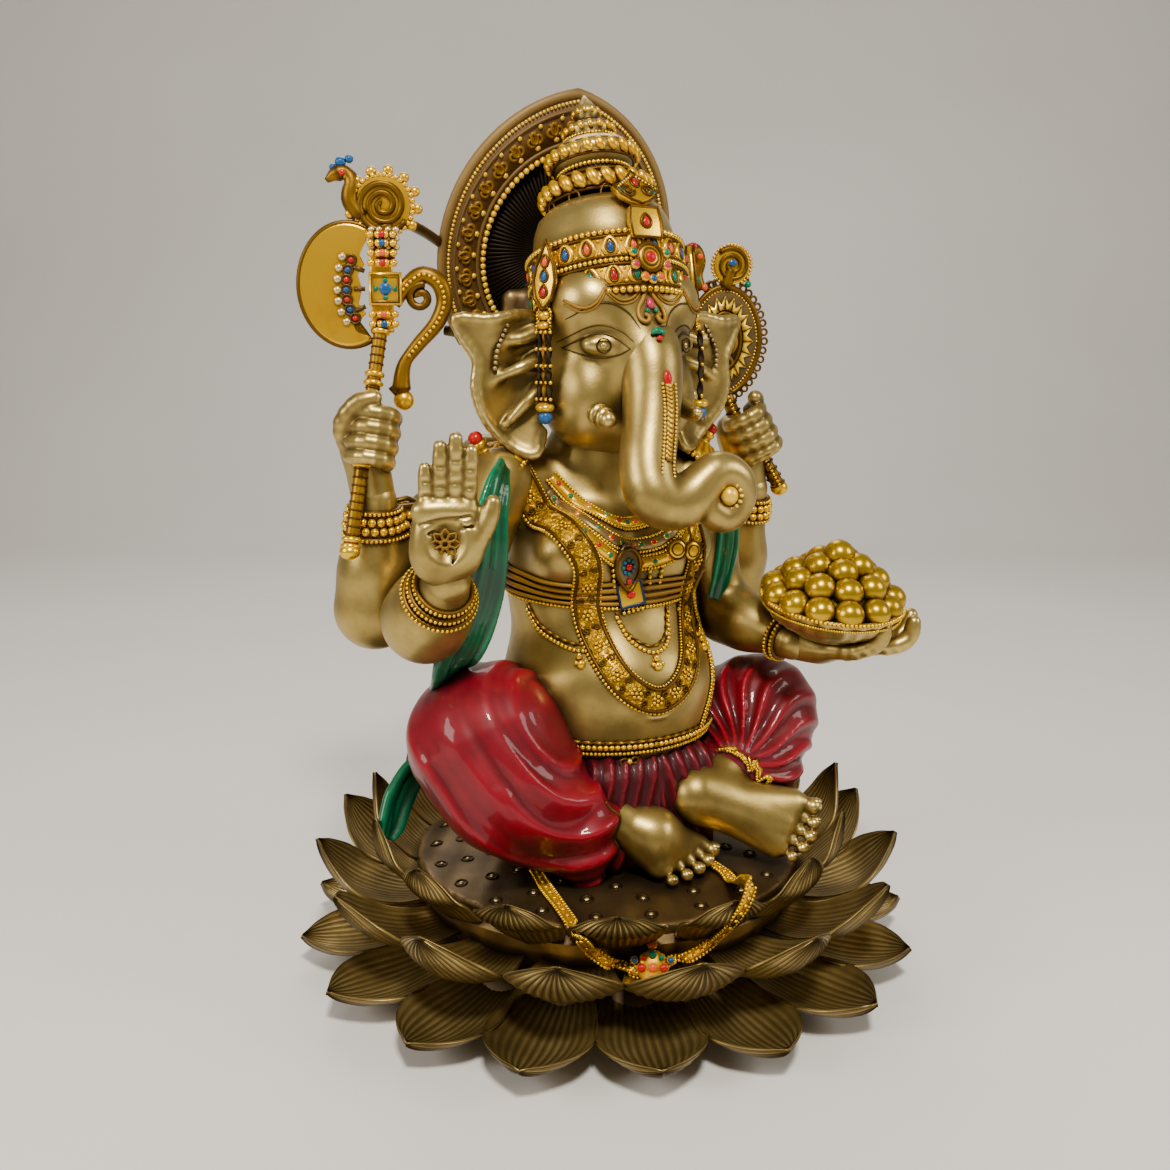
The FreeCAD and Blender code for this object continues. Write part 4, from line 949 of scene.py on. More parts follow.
def head():
    low, high = (-46, -66, 232), (46, 46, 330)
    sculpt("head", head_field, low, high, 0.95, BRONZE, ("head",))
    lines = Heap()
    brow_lines(lines)
    lines.done("eye_carving", BRONZE, slot="bronze")
    sculpt("trunk", trunk_field, (-28, -76, 200), (42, -2, 312), 0.9, BRONZE, ("trunk",))
    for s, name in ((-1, "right_ear"), (1, "left_ear")):
        low = (-78 if s < 0 else 28, -14, 230)
        high = (-28 if s < 0 else 78, 18, 306)
        sculpt(name, ear_field(s), low, high, 0.85, BRONZE, (name,))
    tusks()


# ------------------------------------------------------------------ arms and hands

def arm_field(name):
    upper, elbow, wrist = ARM_RADII[name]
    s, e, w = SHOULDER[name], ELBOW[name], WRIST[name]

    def field(p):
        d = capsule(p, s, e, upper, elbow * 0.88)
        d = melt(d, ellipsoid(p, 0.55 * s + 0.45 * e, (upper * 0.98,) * 3), 10)
        d = melt(d, ball(p, e, elbow * 0.93), 6)
        mid = 0.62 * e + 0.38 * w
        d = melt(d, capsule(p, e, mid, elbow * 0.9, (elbow + wrist) * 0.52), 8)
        return melt(d, capsule(p, mid, w + unit(w - e) * 3, (elbow + wrist) * 0.52, wrist * 0.86), 8)
    return field


def finger(p, points, r, tip=0.86):
    pts = [vec(*q) for q in points]
    radii = np.linspace(r * 1.06, r * tip, len(pts))
    return chain(p, pts, radii, 1.4)


PALM_X, PALM_UP = unit(vec(0.966, -0.259, 0)), unit(vec(0.0, -0.10, 1.0))
PALM = vec(-97, -47, 213)


def palm_point(x, y, z):
    """A point in the raised palm's own frame: x to the thumb side, y to the fingers, z out of the palm."""
    return PALM + PALM_X * x * 0.87 + PALM_UP * (y * 0.97 + 1) + PALM_Z * z


PALM_Z = unit(np.cross(PALM_X, PALM_UP))


def raised_hand_field(p):
    turn = np.array([PALM_X, PALM_UP, PALM_Z]).T
    d = slab(p, palm_point(0, 1, 0), (12.6, 12.6, 5.4), turn, 5.0)
    d = melt(d, ellipsoid(p, palm_point(-1, -13, 0.5), (10, 10, 7.6), turn), 9)
    d = melt(d, ellipsoid(p, palm_point(8.5, -5, 4), (6.5, 10.5, 4.8), turn), 5)
    d = melt(d, ellipsoid(p, palm_point(-9, -5, 3.2), (5.5, 11, 4.6), turn), 5)
    d = melt(d, ellipsoid(p, palm_point(0, 10, 2.6), (13, 4.2, 3.6), turn), 4)
    d = carve(d, ellipsoid(p, palm_point(-0.5, -1, 9.2), (6.5, 7.5, 4.2), turn), 4)
    for x, reach, r in ((9.9, 33.5, 2.95), (3.5, 38.5, 3.05), (-3.0, 35.5, 2.9), (-9.2, 27, 2.55)):
        pts = [palm_point(x, 9, 0.4), palm_point(x * 1.04, 9 + (reach - 9) * 0.5, 1.2),
                palm_point(x * 1.07, reach, 0.9)]
        one = finger(p, spline(pts, 7), r, 0.88)
        for f in (0.42, 0.72):
            crease = palm_point(x * 1.05, 9 + (reach - 9) * f, r + 1.5)
            one = carve(one, capsule(p, crease - PALM_X * 3.4, crease + PALM_X * 3.4, 0.75), 0.9)
        d = melt(d, one, 1.5)
    thumb = [palm_point(9, -9, 2.5), palm_point(15, -1, 4.2), palm_point(18.6, 6, 4.6),
            palm_point(20.5, 13, 4.0)]
    d = melt(d, finger(p, spline(thumb, 8), 3.7, 0.82), 3.0)
    for a, b in (((-12, 5.5, 6.3), (10, 8.2, 6.3)), ((-11, 1.0, 5.8), (11, 4, 6.3)),
            ((6, 5, 6.8), (2.5, -11, 7.4))):
        d = carve(d, capsule(p, palm_point(*a), palm_point(*b), 0.55), 1.2)
    return d


def fist_field(palm, wrist, rod_a, rod_b, side):
    """A hand closed on a rod: fingers wrap from the outside across the front."""
    rod = unit(rod_b - rod_a)
    t = (palm - rod_a) @ rod
    centre = rod_a + rod * t
    back = unit(palm - centre - rod * ((palm - centre) @ rod)) if np.linalg.norm(palm
            - centre) > 0.5 else vec(0, 1, 0)
    out = unit(np.cross(rod, back)) * side

    def field(p):
        d = capsule(p, wrist + (palm - wrist) * 0.1, palm - rod * 6, 9.5, 9.6)
        d = melt(d, ellipsoid(p, palm + back * 2.5, (9.5, 8, 13), axes(out, rod)[:, [0, 1, 2]]), 6)
        for k, r in enumerate((3.5, 3.7, 3.6, 3.2)):
            h = rod * (9.5 - 6.3 * k)
            knuckle = centre + h + out * 9.5 + back * 5
            bend = centre + h + out * 9.2 - back * 6.5
            fold = centre + h + out * 1.0 - back * 9.0
            tip = centre + h - out * 5.2 - back * 3.5
            d = melt(d, finger(p, spline([centre + h + back * 7, knuckle, bend, fold, tip], 12), r, 0.9), 1.5)
        base = palm - rod * 6 - out * 6
        thumb = [base, centre - out * 10 - back * 3 + rod * 3, centre - out * 5 - back * 8.6 + rod * 12,
                 centre + out * 2 - back * 9.5 + rod * 15.5]
        return melt(d, finger(p, spline(thumb, 9), 3.9, 0.85), 1.6)
    return field


def bowl_hand_field(p):
    palm = vec(89, -52, 150)
    d = capsule(p, WRIST["front_left"], palm + (-6, 0, 0), 8.6, 9)
    d = melt(d, ellipsoid(p, palm + (2, -1, -0.5), (17, 15, 6.0)), 6)
    for k, (dx, dy, reach) in enumerate(((26, -27, 1.0), (33, -14, 1.06), (34, 0, 1.02), (29, 13, 0.94))):
        base = palm + vec(8, -12 + 8 * k, 0)
        mid = palm + vec(dx * 0.72, dy * 0.86, 1.5)
        tip = palm + vec(dx * reach, dy * reach, 12.5)
        one = finger(p, spline([base, mid, 0.5 * (mid + tip) + (2.5, -1, -1.2), tip], 9), 3.9, 0.84)
        d = melt(d, one, 1.8)
    thumb = [palm + (-6, -8, 0), palm + (-2, -20, 0.5), palm + (4, -29, 6), palm + (5, -31.5, 13)]
    return melt(d, finger(p, spline(thumb, 9), 4.2, 0.82), 2.5)


def arms():
    for name in SHOULDER:
        box = np.array([SHOULDER[name], ELBOW[name], WRIST[name]])
        low, high = box.min(0) - 23, box.max(0) + 23
        sculpt(name + "_arm", arm_field(name), low, high, 1.0, BRONZE, (name + "_arm",))
    sculpt("front_right_hand", raised_hand_field, (-120, -64, 184), (-68, -30, 258), 0.65, BRONZE,
            ("front_right_hand",))
    rear = fist_field(vec(-108, 16, 246), WRIST["rear_right"], SHAFT_LOW, SHAFT_HIGH, -1)
    sculpt("rear_right_hand", rear, (-134, -14, 212), (-86, 36, 272), 0.7, BRONZE, ("rear_right_hand",))
    other = fist_field(vec(82, 16, 240), WRIST["rear_left"], vec(101, 9, 217), vec(78, 14, 258), 1)
    sculpt("rear_left_hand", other, (58, -12, 206), (110, 38, 268), 0.7, BRONZE, ("rear_left_hand",))
    sculpt("front_left_hand", bowl_hand_field, (60, -92, 136), (130, -26, 172), 0.75, BRONZE,
            ("front_left_hand",))


lotus()
seat()
seated_body()
head()
arms()


# ------------------------------------------------------------------ crown

CROWN = vec(0, -3, 300)
TILT = radians(16)
CROWN_UP = vec(0, sin(TILT), cos(TILT))
CROWN_BACK = vec(0, cos(TILT), -sin(TILT))


def on_crown(r, a, h):
    """A point r from the crown's axis, turned a from the front towards the idol's left, h up the axis."""
    return CROWN + vec(1, 0, 0) * r * sin(a) - CROWN_BACK * r * cos(a) + CROWN_UP * h


def crown_turn(a):
    """Axes of a plate on the crown's side at a: x sideways, y up the crown, z outwards."""
    out = vec(1, 0, 0) * sin(a) - CROWN_BACK * cos(a)
    return np.array([np.cross(CROWN_UP, out), CROWN_UP, out]).T


def ring_at(r, h, n=96, wobble=None):
    return [on_crown(r, 2 * pi * k / n, h + (wobble(2 * pi * k / n) if wobble else 0)) for k in range(n)]


def drop_outline(w, h, n=18):
    """A pointed arch, round at the foot."""
    pts = []
    for k in range(n):
        a = 2 * pi * k / n
        y = -cos(a)
        taper = 1 - 0.42 * max(y, 0) ** 1.6
        pts.append((w * sin(a) * taper, h * y * (1.18 if y > 0 else 0.9)))
    return pts


def loop3(outline, origin, turn, lift=0.0):
    return [origin + turn[:, 0] * x + turn[:, 1] * y + turn[:, 2] * lift for x, y in outline]


def gem(stones, heap, origin, turn, w, h, material, rim=0.55, lift=0.2):
    """A pointed stone in a raised gold rim."""
    sweep(heap, loop3(drop_outline(w + rim, h + rim), origin, turn, lift), rod_shape(rim, 6), turn[:, 2],
            closed=True)
    verts, faces = FINE_BALL
    shaped = verts * (w, h, 0.9)
    shaped[:, 0] *= 1 - 0.35 * np.clip(shaped[:, 1] / h, 0, 1)
    stones.setdefault(material.name,
            (Heap(), material))[0].add(shaped @ turn.T + origin + turn[:, 2] * lift, faces)


def stone(stones, origin, turn, radii, material):
    bead(stones.setdefault(material.name, (Heap(), material))[0], origin, radii, turn, fine=True)


def spiral(centre, turn, r0, r1, turns, start=0.0, n=40, hand=1):
    pts = []
    for t in np.linspace(0, 1, n):
        a = start + hand * 2 * pi * turns * t
        r = r0 + (r1 - r0) * t
        pts.append(centre + turn[:, 0] * r * cos(a) + turn[:, 1] * r * sin(a))
    return pts


def crown(stones):
    base, gold = Heap(), Heap()
    spun(base, [(29, -3), (33.6, -1), (34, 1), (33.8, 12), (34, 13), (33.4, 24), (32.5, 26), (31.6, 30),
            (30.4, 36),
                (28.0, 41.5), (23.5, 45.5), (17.5, 47.6), (14.5, 49)], CROWN, CROWN_UP, 96)
    spun(base, [(14, 46), (20, 48.5), (23.4, 51), (23.8, 54), (21, 57), (16.5, 59), (15.4, 61),
            (15.6, 63.5), (18, 65.5),
                (20, 68.5), (19.4, 71), (16.4, 74.5), (11.5, 77), (10, 78.5), (11.4, 80.5), (11.2, 82.5),
                (8.8, 84.5),
                (5.5, 86), (4.7, 87.5), (6.2, 89.4), (6.0, 91.2), (4.0, 94.0), (1.8, 97.0), (0.4, 98.8)],
         CROWN, CROWN_UP, 72)
    base.done("crown_body", BRONZE, ("crown_band", "crown_dome", "crown_tiers", "crown_finial"), "bronze")
    spun(gold, [(33, -1.5), (34.3, 0.5), (34.5, 6), (34.4, 24.5), (33, 25.5)], CROWN, CROWN_UP, 96)
    for h, r, size in ((-0.5, 34.8, 1.55), (12.4, 35.0, 1.15), (24.6, 34.6, 1.35)):
        beads(gold, ring_at(r, h) + [on_crown(r, 0, h)], size)
    for h, r in ((1.8, 34.9), (10.6, 35.0), (14.2, 34.9), (22.8, 34.6)):
        sweep(gold, ring_at(r, h), rod_shape(0.6, 6), CROWN_UP, closed=True)
    n = 22
    for h, high, colours in ((5.9, 2.5, (RED, GREEN)), (18.2, 2.4, (BLUE, ORANGE))):
        for k in range(n):
            a = 2 * pi * (k + 0.5) / n
            turn = crown_turn(a)
            at = on_crown(34.3, a, h)
            plate(gold, drop_outline(4.0, 4.6), at, turn, 1.6, 0.25)
            gem(stones, gold, at, turn, 1.45, high, colours[k % 2], 0.5, 0.9)
            bead(gold, on_crown(34.6, a + pi / n, h - 2.6), 1.0)
            bead(gold, on_crown(34.6, a + pi / n, h + 2.9), 0.75)
    for r, h, size, count, slant in ((24.2, 52.6, (2.6, 4.4, 2.6), 24, 0.55),
            (19.8, 68.8, (2.2, 3.2, 2.0), 22, 0.5),
                                     (11.2, 81.4, (1.5, 2.0, 1.4), 16, 0.4),
                                     (6.0, 90.2, (1.0, 1.4, 1.0), 11, 0.3)):
        for k in range(count):
            a = 2 * pi * k / count
            turn = crown_turn(a)
            lean = turn @ np.array([[cos(slant), -sin(slant), 0], [sin(slant), cos(slant), 0], [0, 0, 1]])
            bead(gold, on_crown(r, a, h), size, lean, fine=True)
        sweep(gold, ring_at(r - 1.6, h + size[1] * 0.95), rod_shape(0.7, 6), CROWN_UP, closed=True)
        sweep(gold, ring_at(r - 1.6, h - size[1] * 0.95), rod_shape(0.7, 6), CROWN_UP, closed=True)
    beads(gold, ring_at(16.4, 62) + [on_crown(16.4, 0, 62)], 1.0)
    beads(gold, ring_at(12.6, 76.8) + [on_crown(12.6, 0, 76.8)], 0.8)
    for k in range(10):
        a = 2 * pi * (k + 0.5) / 10
        turn = crown_turn(a)
        at = on_crown(22.5, a, 46.0)
        sweep(gold, loop3(drop_outline(2.6, 3.0), at, turn, 0.6), rod_shape(0.5, 6), turn[:, 2], closed=True)
    gold.done("crown_ornament", GOLD)
    crest = Heap()
    a = radians(2)
    turn = crown_turn(a)
    at = on_crown(36.4, a, 12.5)
    for r, rod in ((6.0, 0.9), (3.6, 0.8)):
        ring = [at + r * (turn[:, 0] * cos(t) + turn[:, 1] * sin(t))
                for t in np.linspace(0, 2 * pi, 26, endpoint=False)]
        sweep(crest, ring, rod_shape(rod, 6), turn[:, 2], closed=True)
    bead(crest, at - turn[:, 2] * 0.6, (5.8, 5.8, 1.4), turn, fine=True)
    stone(stones, at + turn[:, 2] * 0.6, turn, (2.5, 2.5, 1.2), RED)
    for x, y, colour in ((-3.6, -8.4, ORANGE), (0, -9.4, BLUE), (3.6, -8.4, ORANGE), (-7.6, -3.4, PINK),
            (7.6, -3.4, PINK),
                         (-8, 2, GREEN), (8, 2, GREEN)):
        spot = at + turn[:, 0] * x + turn[:, 1] * y
        bead(crest, spot, (2.3, 2.3, 1.4), turn)
        stone(stones, spot + turn[:, 2] * 1.0, turn, (1.4, 1.4, 0.8), colour)
    plaque = [(-7, -6.5), (7, -6.5), (7.5, 0), (6.6, 6.5), (-6.6, 6.5), (-7.5, 0)]
    spot = on_crown(35.2, a, 27.5)
    plate(crest, plaque, spot, turn, 3.4, 0.12)
    sweep(crest, loop3(plaque, spot, turn, 1.8), rod_shape(0.6, 6), turn[:, 2], closed=True)
    gem(stones, crest, spot + turn[:, 2] * 1.6, turn, 1.9, 2.3, RED, 0.6, 0.3)
    head_at = on_crown(32.2, a, 41)
    lean = crown_turn(a) @ np.array([[1, 0, 0], [0, cos(0.35), sin(0.35)], [0, -sin(0.35), cos(0.35)]])
    wing = [(0, -6), (4, -4.5), (8.5, -1.5), (11, 3), (8, 3.6), (5.2, 5.5), (2.4, 8.6), (0, 11.5)]
    wing = wing + [(-x, y) for x, y in wing[-2:0:-1]]
    plate(crest, wing, head_at, lean, 3.2, 0.14)
    sweep(crest, loop3(wing, head_at, lean, 1.6), rod_shape(0.6, 6), lean[:, 2], closed=True)
    for s in (-1, 1):
        curl = spiral(head_at + lean[:, 0] * s * 5 + lean[:, 1] * 0.5 + lean[:, 2] * 1.8, lean, 3.4, 0.6,
                1.6, 0, 30, s)
        sweep(crest, curl, rod_shape(0.65, 6), lean[:, 2])
        stone(stones, head_at + lean[:, 0] * s * 7.5 + lean[:, 1] * 0.6 + lean[:, 2] * 1.2, lean,
                (2.3, 1.5, 0.9), GREEN)
        beads(crest, [head_at + lean[:, 0] * s * q + lean[:, 1] * (2 + 7 * (1 - q / 9)) + lean[:, 2] * 1.8
                      for q in (1.5, 4.5, 9)], 0.7)
    gem(stones, crest, head_at + lean[:, 1] * 5.0 + lean[:, 2] * 1.4, lean, 1.5, 2.2, RED, 0.55, 0.3)
    crest.done("crown_crest", GOLD, ("crown_crest",))


# ------------------------------------------------------------------ halo

HALO = vec(0, 57, 330)
LEAN = radians(18)
HALO_TURN = np.array([(1, 0, 0), (0, -sin(LEAN), cos(LEAN)), (0, -cos(LEAN), -sin(LEAN))]).T


def arch_line(hw, low=-44.0, n=60):
    """The pointed arch of half width hw, from its right foot over the tip to its left foot."""
    big, shift = 1.265 * hw, 0.265 * hw
    top = pi - math.acos(0.2095)
    foot = pi + math.asin(min(-low / big, 0.98))
    left = [(shift + big * cos(t), big * sin(t)) for t in np.linspace(foot, top, n // 2)]
    right = [(-x, y) for x, y in left[::-1]]
    line = left + right[1:]
    return line


def halo():
    back, border, rim, gold = Heap(), Heap(), Heap(), Heap()
    outer = arch_line(58.4)
    plate(back, outer[::-1], HALO + HALO_TURN[:, 2] * 1.4, HALO_TURN, 2.8, 0.0)
    place = lambda line, lift: [HALO + HALO_TURN[:, 0] * x + HALO_TURN[:, 1] * y + HALO_TURN[:, 2] * lift
                                for x, y in line]
    spun_band(border, 58.4, 38.5, 2.6, 6.2)
    back.done("halo_plate", BRONZE, ("halo",), "gold")
    border.done("halo_band", LIT_HALO_BRONZE, slot="gold")
    sweep(rim, place(outer, 5.0), rod_shape(2.2, 10), HALO_TURN[:, 2])
    sweep(rim, place(arch_line(52.8, -42), 6.4), rod_shape(0.75, 8), HALO_TURN[:, 2])
    sweep(rim, place(arch_line(41.4, -38), 6.4), rod_shape(0.9, 8), HALO_TURN[:, 2])
    rim.done("halo_rim", LIT_HALO_BRONZE, slot="gold")
    beads(gold, place(arch_line(38.6, -36), 6.3), 1.5, 3.0)
    beads(gold, place(arch_line(55.6, -43), 6.2), 0.85, 1.9)
    line = np.array(place(arch_line(47.2, -40, 200), 6.3))
    spots = evenly(line, 10.2)
    t, _, _ = frames(spots, HALO_TURN[:, 2])
    for i, spot in enumerate(spots):
        turn = np.array([t[i], np.cross(HALO_TURN[:, 2], t[i]), HALO_TURN[:, 2]]).T
        for s in (-1, 1):
            sweep(gold, spiral(spot + turn[:, 0] * s * 1.9, turn, 3.1, 0.6, 1.3, pi / 2, 26, s),
                    rod_shape(0.85, 6),
                  HALO_TURN[:, 2])
        gem_line = loop3(drop_outline(1.6, 2.5), spot + turn[:, 1] * 0.6, turn, 0.5)
        sweep(gold, gem_line, rod_shape(0.7, 6), turn[:, 2], closed=True)
        bead(gold, spot - turn[:, 1] * 3.9, (1.4, 1.4, 1.0), turn)
        bead(gold, spot + turn[:, 1] * 4.2 + turn[:, 0] * 5.0, (1.2, 1.2, 1.0), turn)
    gold.done("halo_border", YELLOW)
    rays = Heap()
    for x, y in arch_line(36.4, -30, 88)[1:-1]:
        a = HALO + HALO_TURN[:, 0] * x * 0.16 + HALO_TURN[:, 1] * y * 0.16 + HALO_TURN[:, 2] * 2.9
        b = HALO + HALO_TURN[:, 0] * x + HALO_TURN[:, 1] * y + HALO_TURN[:, 2] * 3.6
        sweep(rays, [a, 0.5 * (a + b) + HALO_TURN[:, 2] * 0.5, b], rod_shape(0.8, 6), HALO_TURN[:, 2],
                scale=[0.5, 0.9, 1])
    rays.done("halo_rays", PATINA, slot="bronze")
    web = lambda p: melt(capsule(p, vec(0, 20, 298), vec(0, 62, 302), 12.5, 15),
            slab(p, vec(0, 62, 300), (26, 6, 12), edge=5), 8)
    sculpt("halo_bracket", web, (-32, 4, 276), (32, 84, 324), 1.4, PATINA, ("halo_bracket",))


def spun_band(heap, outer, inner, low, high):
    """The raised border between two arches."""
    a, b = arch_line(outer), arch_line(inner, -38)
    n = len(a)
    verts = []
    for line, z in ((a, low - 2.0), (a, high), (b, high), (b, low - 2.0)):
        verts += [(x, y, z) for x, y in line]
    faces = []
    for k in range(n - 1):
        for q in range(4):
            p, r = q * n, ((q + 1) % 4) * n
            faces.append((p + k, p + k + 1, r + k + 1, r + k))
    faces += [(0, n, 2 * n, 3 * n), (n - 1, 4 * n - 1, 3 * n - 1, 2 * n - 1)]
    heap.add(np.array(verts) @ HALO_TURN.T + HALO, faces)


# ------------------------------------------------------------------ face ornament

def on_face(x, z, lift=0.3, field=None):
    field = field or whole_head
    hit = strike(field, [(x, -90, z)], (0, 1, 0))[0]
    return hit + slope(field, hit[None])[0] * lift


def face_curve(points, count=30, lift=0.2, field=None):
    field = field or whole_head
    pts = spline([(x, -90, z) for x, z in points], count)
    hit = strike(field, pts, (0, 1, 0))
    normal = slope(field, hit)
    return hit + normal * lift, normal


def face_ornament(stones):
    gold, pale = Heap(), Heap()
    for s in (-1, 1):
        for pts in (((s * 2, 311), (s * 7, 305.5), (s * 13, 304.5), (s * 19, 309)),
                    ((s * 19, 309), (s * 23, 303), (s * 28, 301), (s * 33, 304))):
            line, normal = face_curve(pts)
            sweep(gold, line, rod_shape(0.6, 8), normal)
            line, normal = face_curve([(x, z - 1.6) for x, z in pts])
            sweep(gold, line, rod_shape(0.42, 6), normal)
        hook, normal = face_curve(((s * 0.6, 309), (s * 3.2, 304.5), (s * 5.8, 300.5), (s * 5.6, 296.5),
                (s * 3.2, 295.4),
                                   (s * 1.9, 297.4), (s * 3.4, 298.6)), 40)
        sweep(pale, hook, rod_shape(0.95, 8), normal)
    turn_at = lambda q: axes((1, 0, 0), slope(whole_head, q[None])[0])
    for x, z, size, colour in ((0, 302.8, (1.7, 2.5, 1.2), PINK), (-1.9, 300.0, (1.0, 1.2, 0.9), GREEN),
                               (1.9, 300.0, (1.0, 1.2, 0.9), GREEN), (0, 291.6, (2.3, 1.7, 1.2), GREEN),
                               (-2.0, 291.0, (1.2, 1.1, 1.0), GREEN), (2.0, 291.0, (1.2, 1.1, 1.0), GREEN),
                               (0, 288.6, (1.3, 1.2, 1.0), RED)):
        q = on_face(x, z, 0.4)
        stone(stones, q, turn_at(q), size, colour)
    tilak = strike(trunk_field, [(1.0, -90, 272.6)], (0, 1, 0))[0]
    normal = slope(trunk_field, tilak[None])[0]
    stone(stones, tilak, axes((1, 0, 0), normal), (1.9, 3.3, 1.1), RED)
    top_line = [(1.2, 270), (0.8, 262), (-1.0, 252), (-3.4, 243), (-6.0, 234)]
    start = spline([(x, -100, z) for x, z in top_line], 60)
    hit = strike(trunk_field, start, (0, 1, 0))
    normal = slope(trunk_field, hit)
    band = [(-2.0, 0), (-1.5, 0.5), (0, 0.8), (1.5, 0.5), (2.0, 0), (0, -0.8)]
    sweep(pale, hit[:50], band, normal[:50])
    for i in range(1, 50, 3):
        t, side, _ = frames(hit, normal)
        sweep(pale, [hit[i] - side[i] * 2.1 + normal[i] * 0.5, hit[i] + t[i] * 1.2 + normal[i] * 1.1,
                     hit[i] + side[i] * 2.1 + normal[i] * 0.5], rod_shape(0.38, 6), normal[i])
    for s in (-1, 1):
        t, side, _ = frames(hit, normal)
        beads(gold, hit + side * s * 3.2 + normal * 0.1, 0.62, 1.6)
    gold.done("forehead_swags", YELLOW)
    pale.done("forehead_pendant", YELLOW)


def ear_ornament(stones):
    gold, dark = Heap(), Heap()
    for s in (-1, 1):
        out = unit(vec(s * 0.86, -0.5, 0.1))
        turn = axes(np.cross(UP, out), out)
        turn = np.array([turn[:, 0], np.cross(out, turn[:, 0]), out]).T
        if turn[2, 1] < 0:
            turn[:, :2] *= -1
        at = vec(s * 36.5, -12, 312)
        leaf = [(0, -12), (4.4, -7), (5.6, 0), (4.2, 7), (1.6, 13), (0, 17), (-1.6, 13), (-4.2, 7),
                (-5.6, 0), (-4.4, -7)]
        plate(gold, leaf, at, turn, 2.6, 0.2)
        sweep(gold, loop3(leaf, at, turn, 1.4), rod_shape(0.75, 6), turn[:, 2], closed=True)
        for y, colour in ((8, ORANGE), (2.0, BLUE), (-4.5, RED)):
            gem(stones, gold, at + turn[:, 1] * y + turn[:, 2] * 1.2, turn, 1.5, 2.1, colour, 0.5, 0.3)
        for y in (-14, -18.5):
            bead(gold, at + turn[:, 1] * y, (3.0, 2.2, 2.2), turn, fine=True)
            beads(gold, spiral(at + turn[:, 1] * y, turn, 3.6, 3.6, 1, 0, 16), 0.7)
        for q in (-2.4, 0, 2.4):
            top = vec(s * 38.5, -15, 292) + turn[:, 0] * q
            low = vec(s * 38.8, -15.5, 262) + turn[:, 0] * q
            cord_of(dark if q else gold, spline([top, 0.5 * (top + low) + out * 0.6, low], 40), 1.45)
        for z in (291, 284, 277, 270, 263):
            for q in (-3.6, -1.2, 1.2, 3.6):
                bead(gold, vec(s * 38.7, -15.2, z) + turn[:, 0] * q + out * 1.0, 0.85)
        bead(gold, vec(s * 38.8, -15.5, 259.5), (4.2, 4.2, 2.4), fine=True)
        stone(stones, vec(s * 38.8, -15.8, 255.5), turn, (3.1, 3.1, 3.1), BLUE)
        chain_line = spline([vec(s * 50, -2, 294), vec(s * 55, -3, 284), vec(s * 56, -2, 276)], 30)
        beads(dark, chain_line, 1.2)
    gold.done("right_ear_ornament", GOLD, ("right_ear_tassel", "left_ear_tassel"))
    dark.done("ear_cords", PATINA, slot="gold")


# ------------------------------------------------------------------ body ornament

def on_torso(points, count, lift=0.0):
    pts = spline([(x, -100, z) for x, z in points], count)
    hit = strike(torso_field, pts, (0, 1, 0))
    normal = slope(torso_field, hit)
    return hit + normal * lift, normal


def around(z, count, low=0, high=2 * pi, lift=0.0, tip=0.0, centre=(0, 4)):
    """Points round the torso at height z; tip lowers the front."""
    a = np.linspace(low, high, count)
    c = np.array([centre[0], centre[1], 0.0])
    start = np.stack([c[0] + 90 * np.sin(a), c[1] - 90 * np.cos(a), z - tip * np.cos(a)], 1)
    way = np.stack([-np.sin(a), np.cos(a), np.zeros(count)], 1)
    t = np.zeros(count)
    for _ in range(60):
        t += np.clip(torso_field(start + t[:, None] * way) * 0.8, -1, 8)
    hit = start + t[:, None] * way
    normal = slope(torso_field, hit)
    return hit + normal * lift, normal


SASH = [(-46, 232), (-42, 222), (-35, 208), (-28.5, 194), (-25.5, 178), (-23.5, 162), (-20, 148),
        (-12.5, 138.5), (-1.5, 134),
        (9, 138), (17, 147), (23, 160), (26, 176), (26.5, 192), (26, 206)]


def sash():
    band, trim = Heap(), Heap()
    line, normal = on_torso(SASH, 150, 0.3)
    wide = np.interp(np.linspace(0, 1, 150), [0, 0.2, 0.5, 0.8, 1], [1.0, 0.9, 0.9, 0.75, 0.65])
    shape = [(-6, -0.6), (-5.8, 0.9), (-4.9, 1.2), (0, 1.5), (4.9, 1.2), (5.8, 0.9), (6, -0.6), (0, -1)]
    sweep(band, line, shape, normal, scale=wide)
    band.done("chest_sash", CHASED, ("chest_sash",), "gold")
    t, side, _ = frames(line, normal)
    for s, r in ((-1, 0.75), (1, 0.75)):
        edge = line + side * (s * 5.6 * wide)[:, None] + normal * 1.2
        sweep(trim, edge, rod_shape(r, 6), normal)
    beads(trim, line + side * (6.9 * wide)[:, None] + normal * 0.5, 0.85, 1.9)
    beads(trim, line - side * (6.9 * wide)[:, None] + normal * 0.5, 0.6, 1.5)
    for i in range(3, len(line) - 3, 9):
        turn = np.array([side[i], t[i], normal[i]]).T
        at = line[i] + normal[i] * 1.6
        for k in range(6):
            a = 2 * pi * k / 6
            bead(trim, at + turn[:, 0] * 2.0 * cos(a) + turn[:, 1] * 2.0 * sin(a), (0.8, 0.8, 0.5), turn)
        bead(trim, at, (0.8, 0.8, 0.7), turn)
        j = min(i + 4, len(line) - 1)
        for s in (-1, 1):
            turn2 = np.array([side[j], t[j], normal[j]]).T
            sweep(trim, spiral(line[j] + normal[j] * 1.6 + side[j] * s * 2.3, turn2, 1.8, 0.4, 1.2, 0, 18, s),
                  rod_shape(0.4, 6), normal[j])
    trim.done("sash_trim", GOLD)


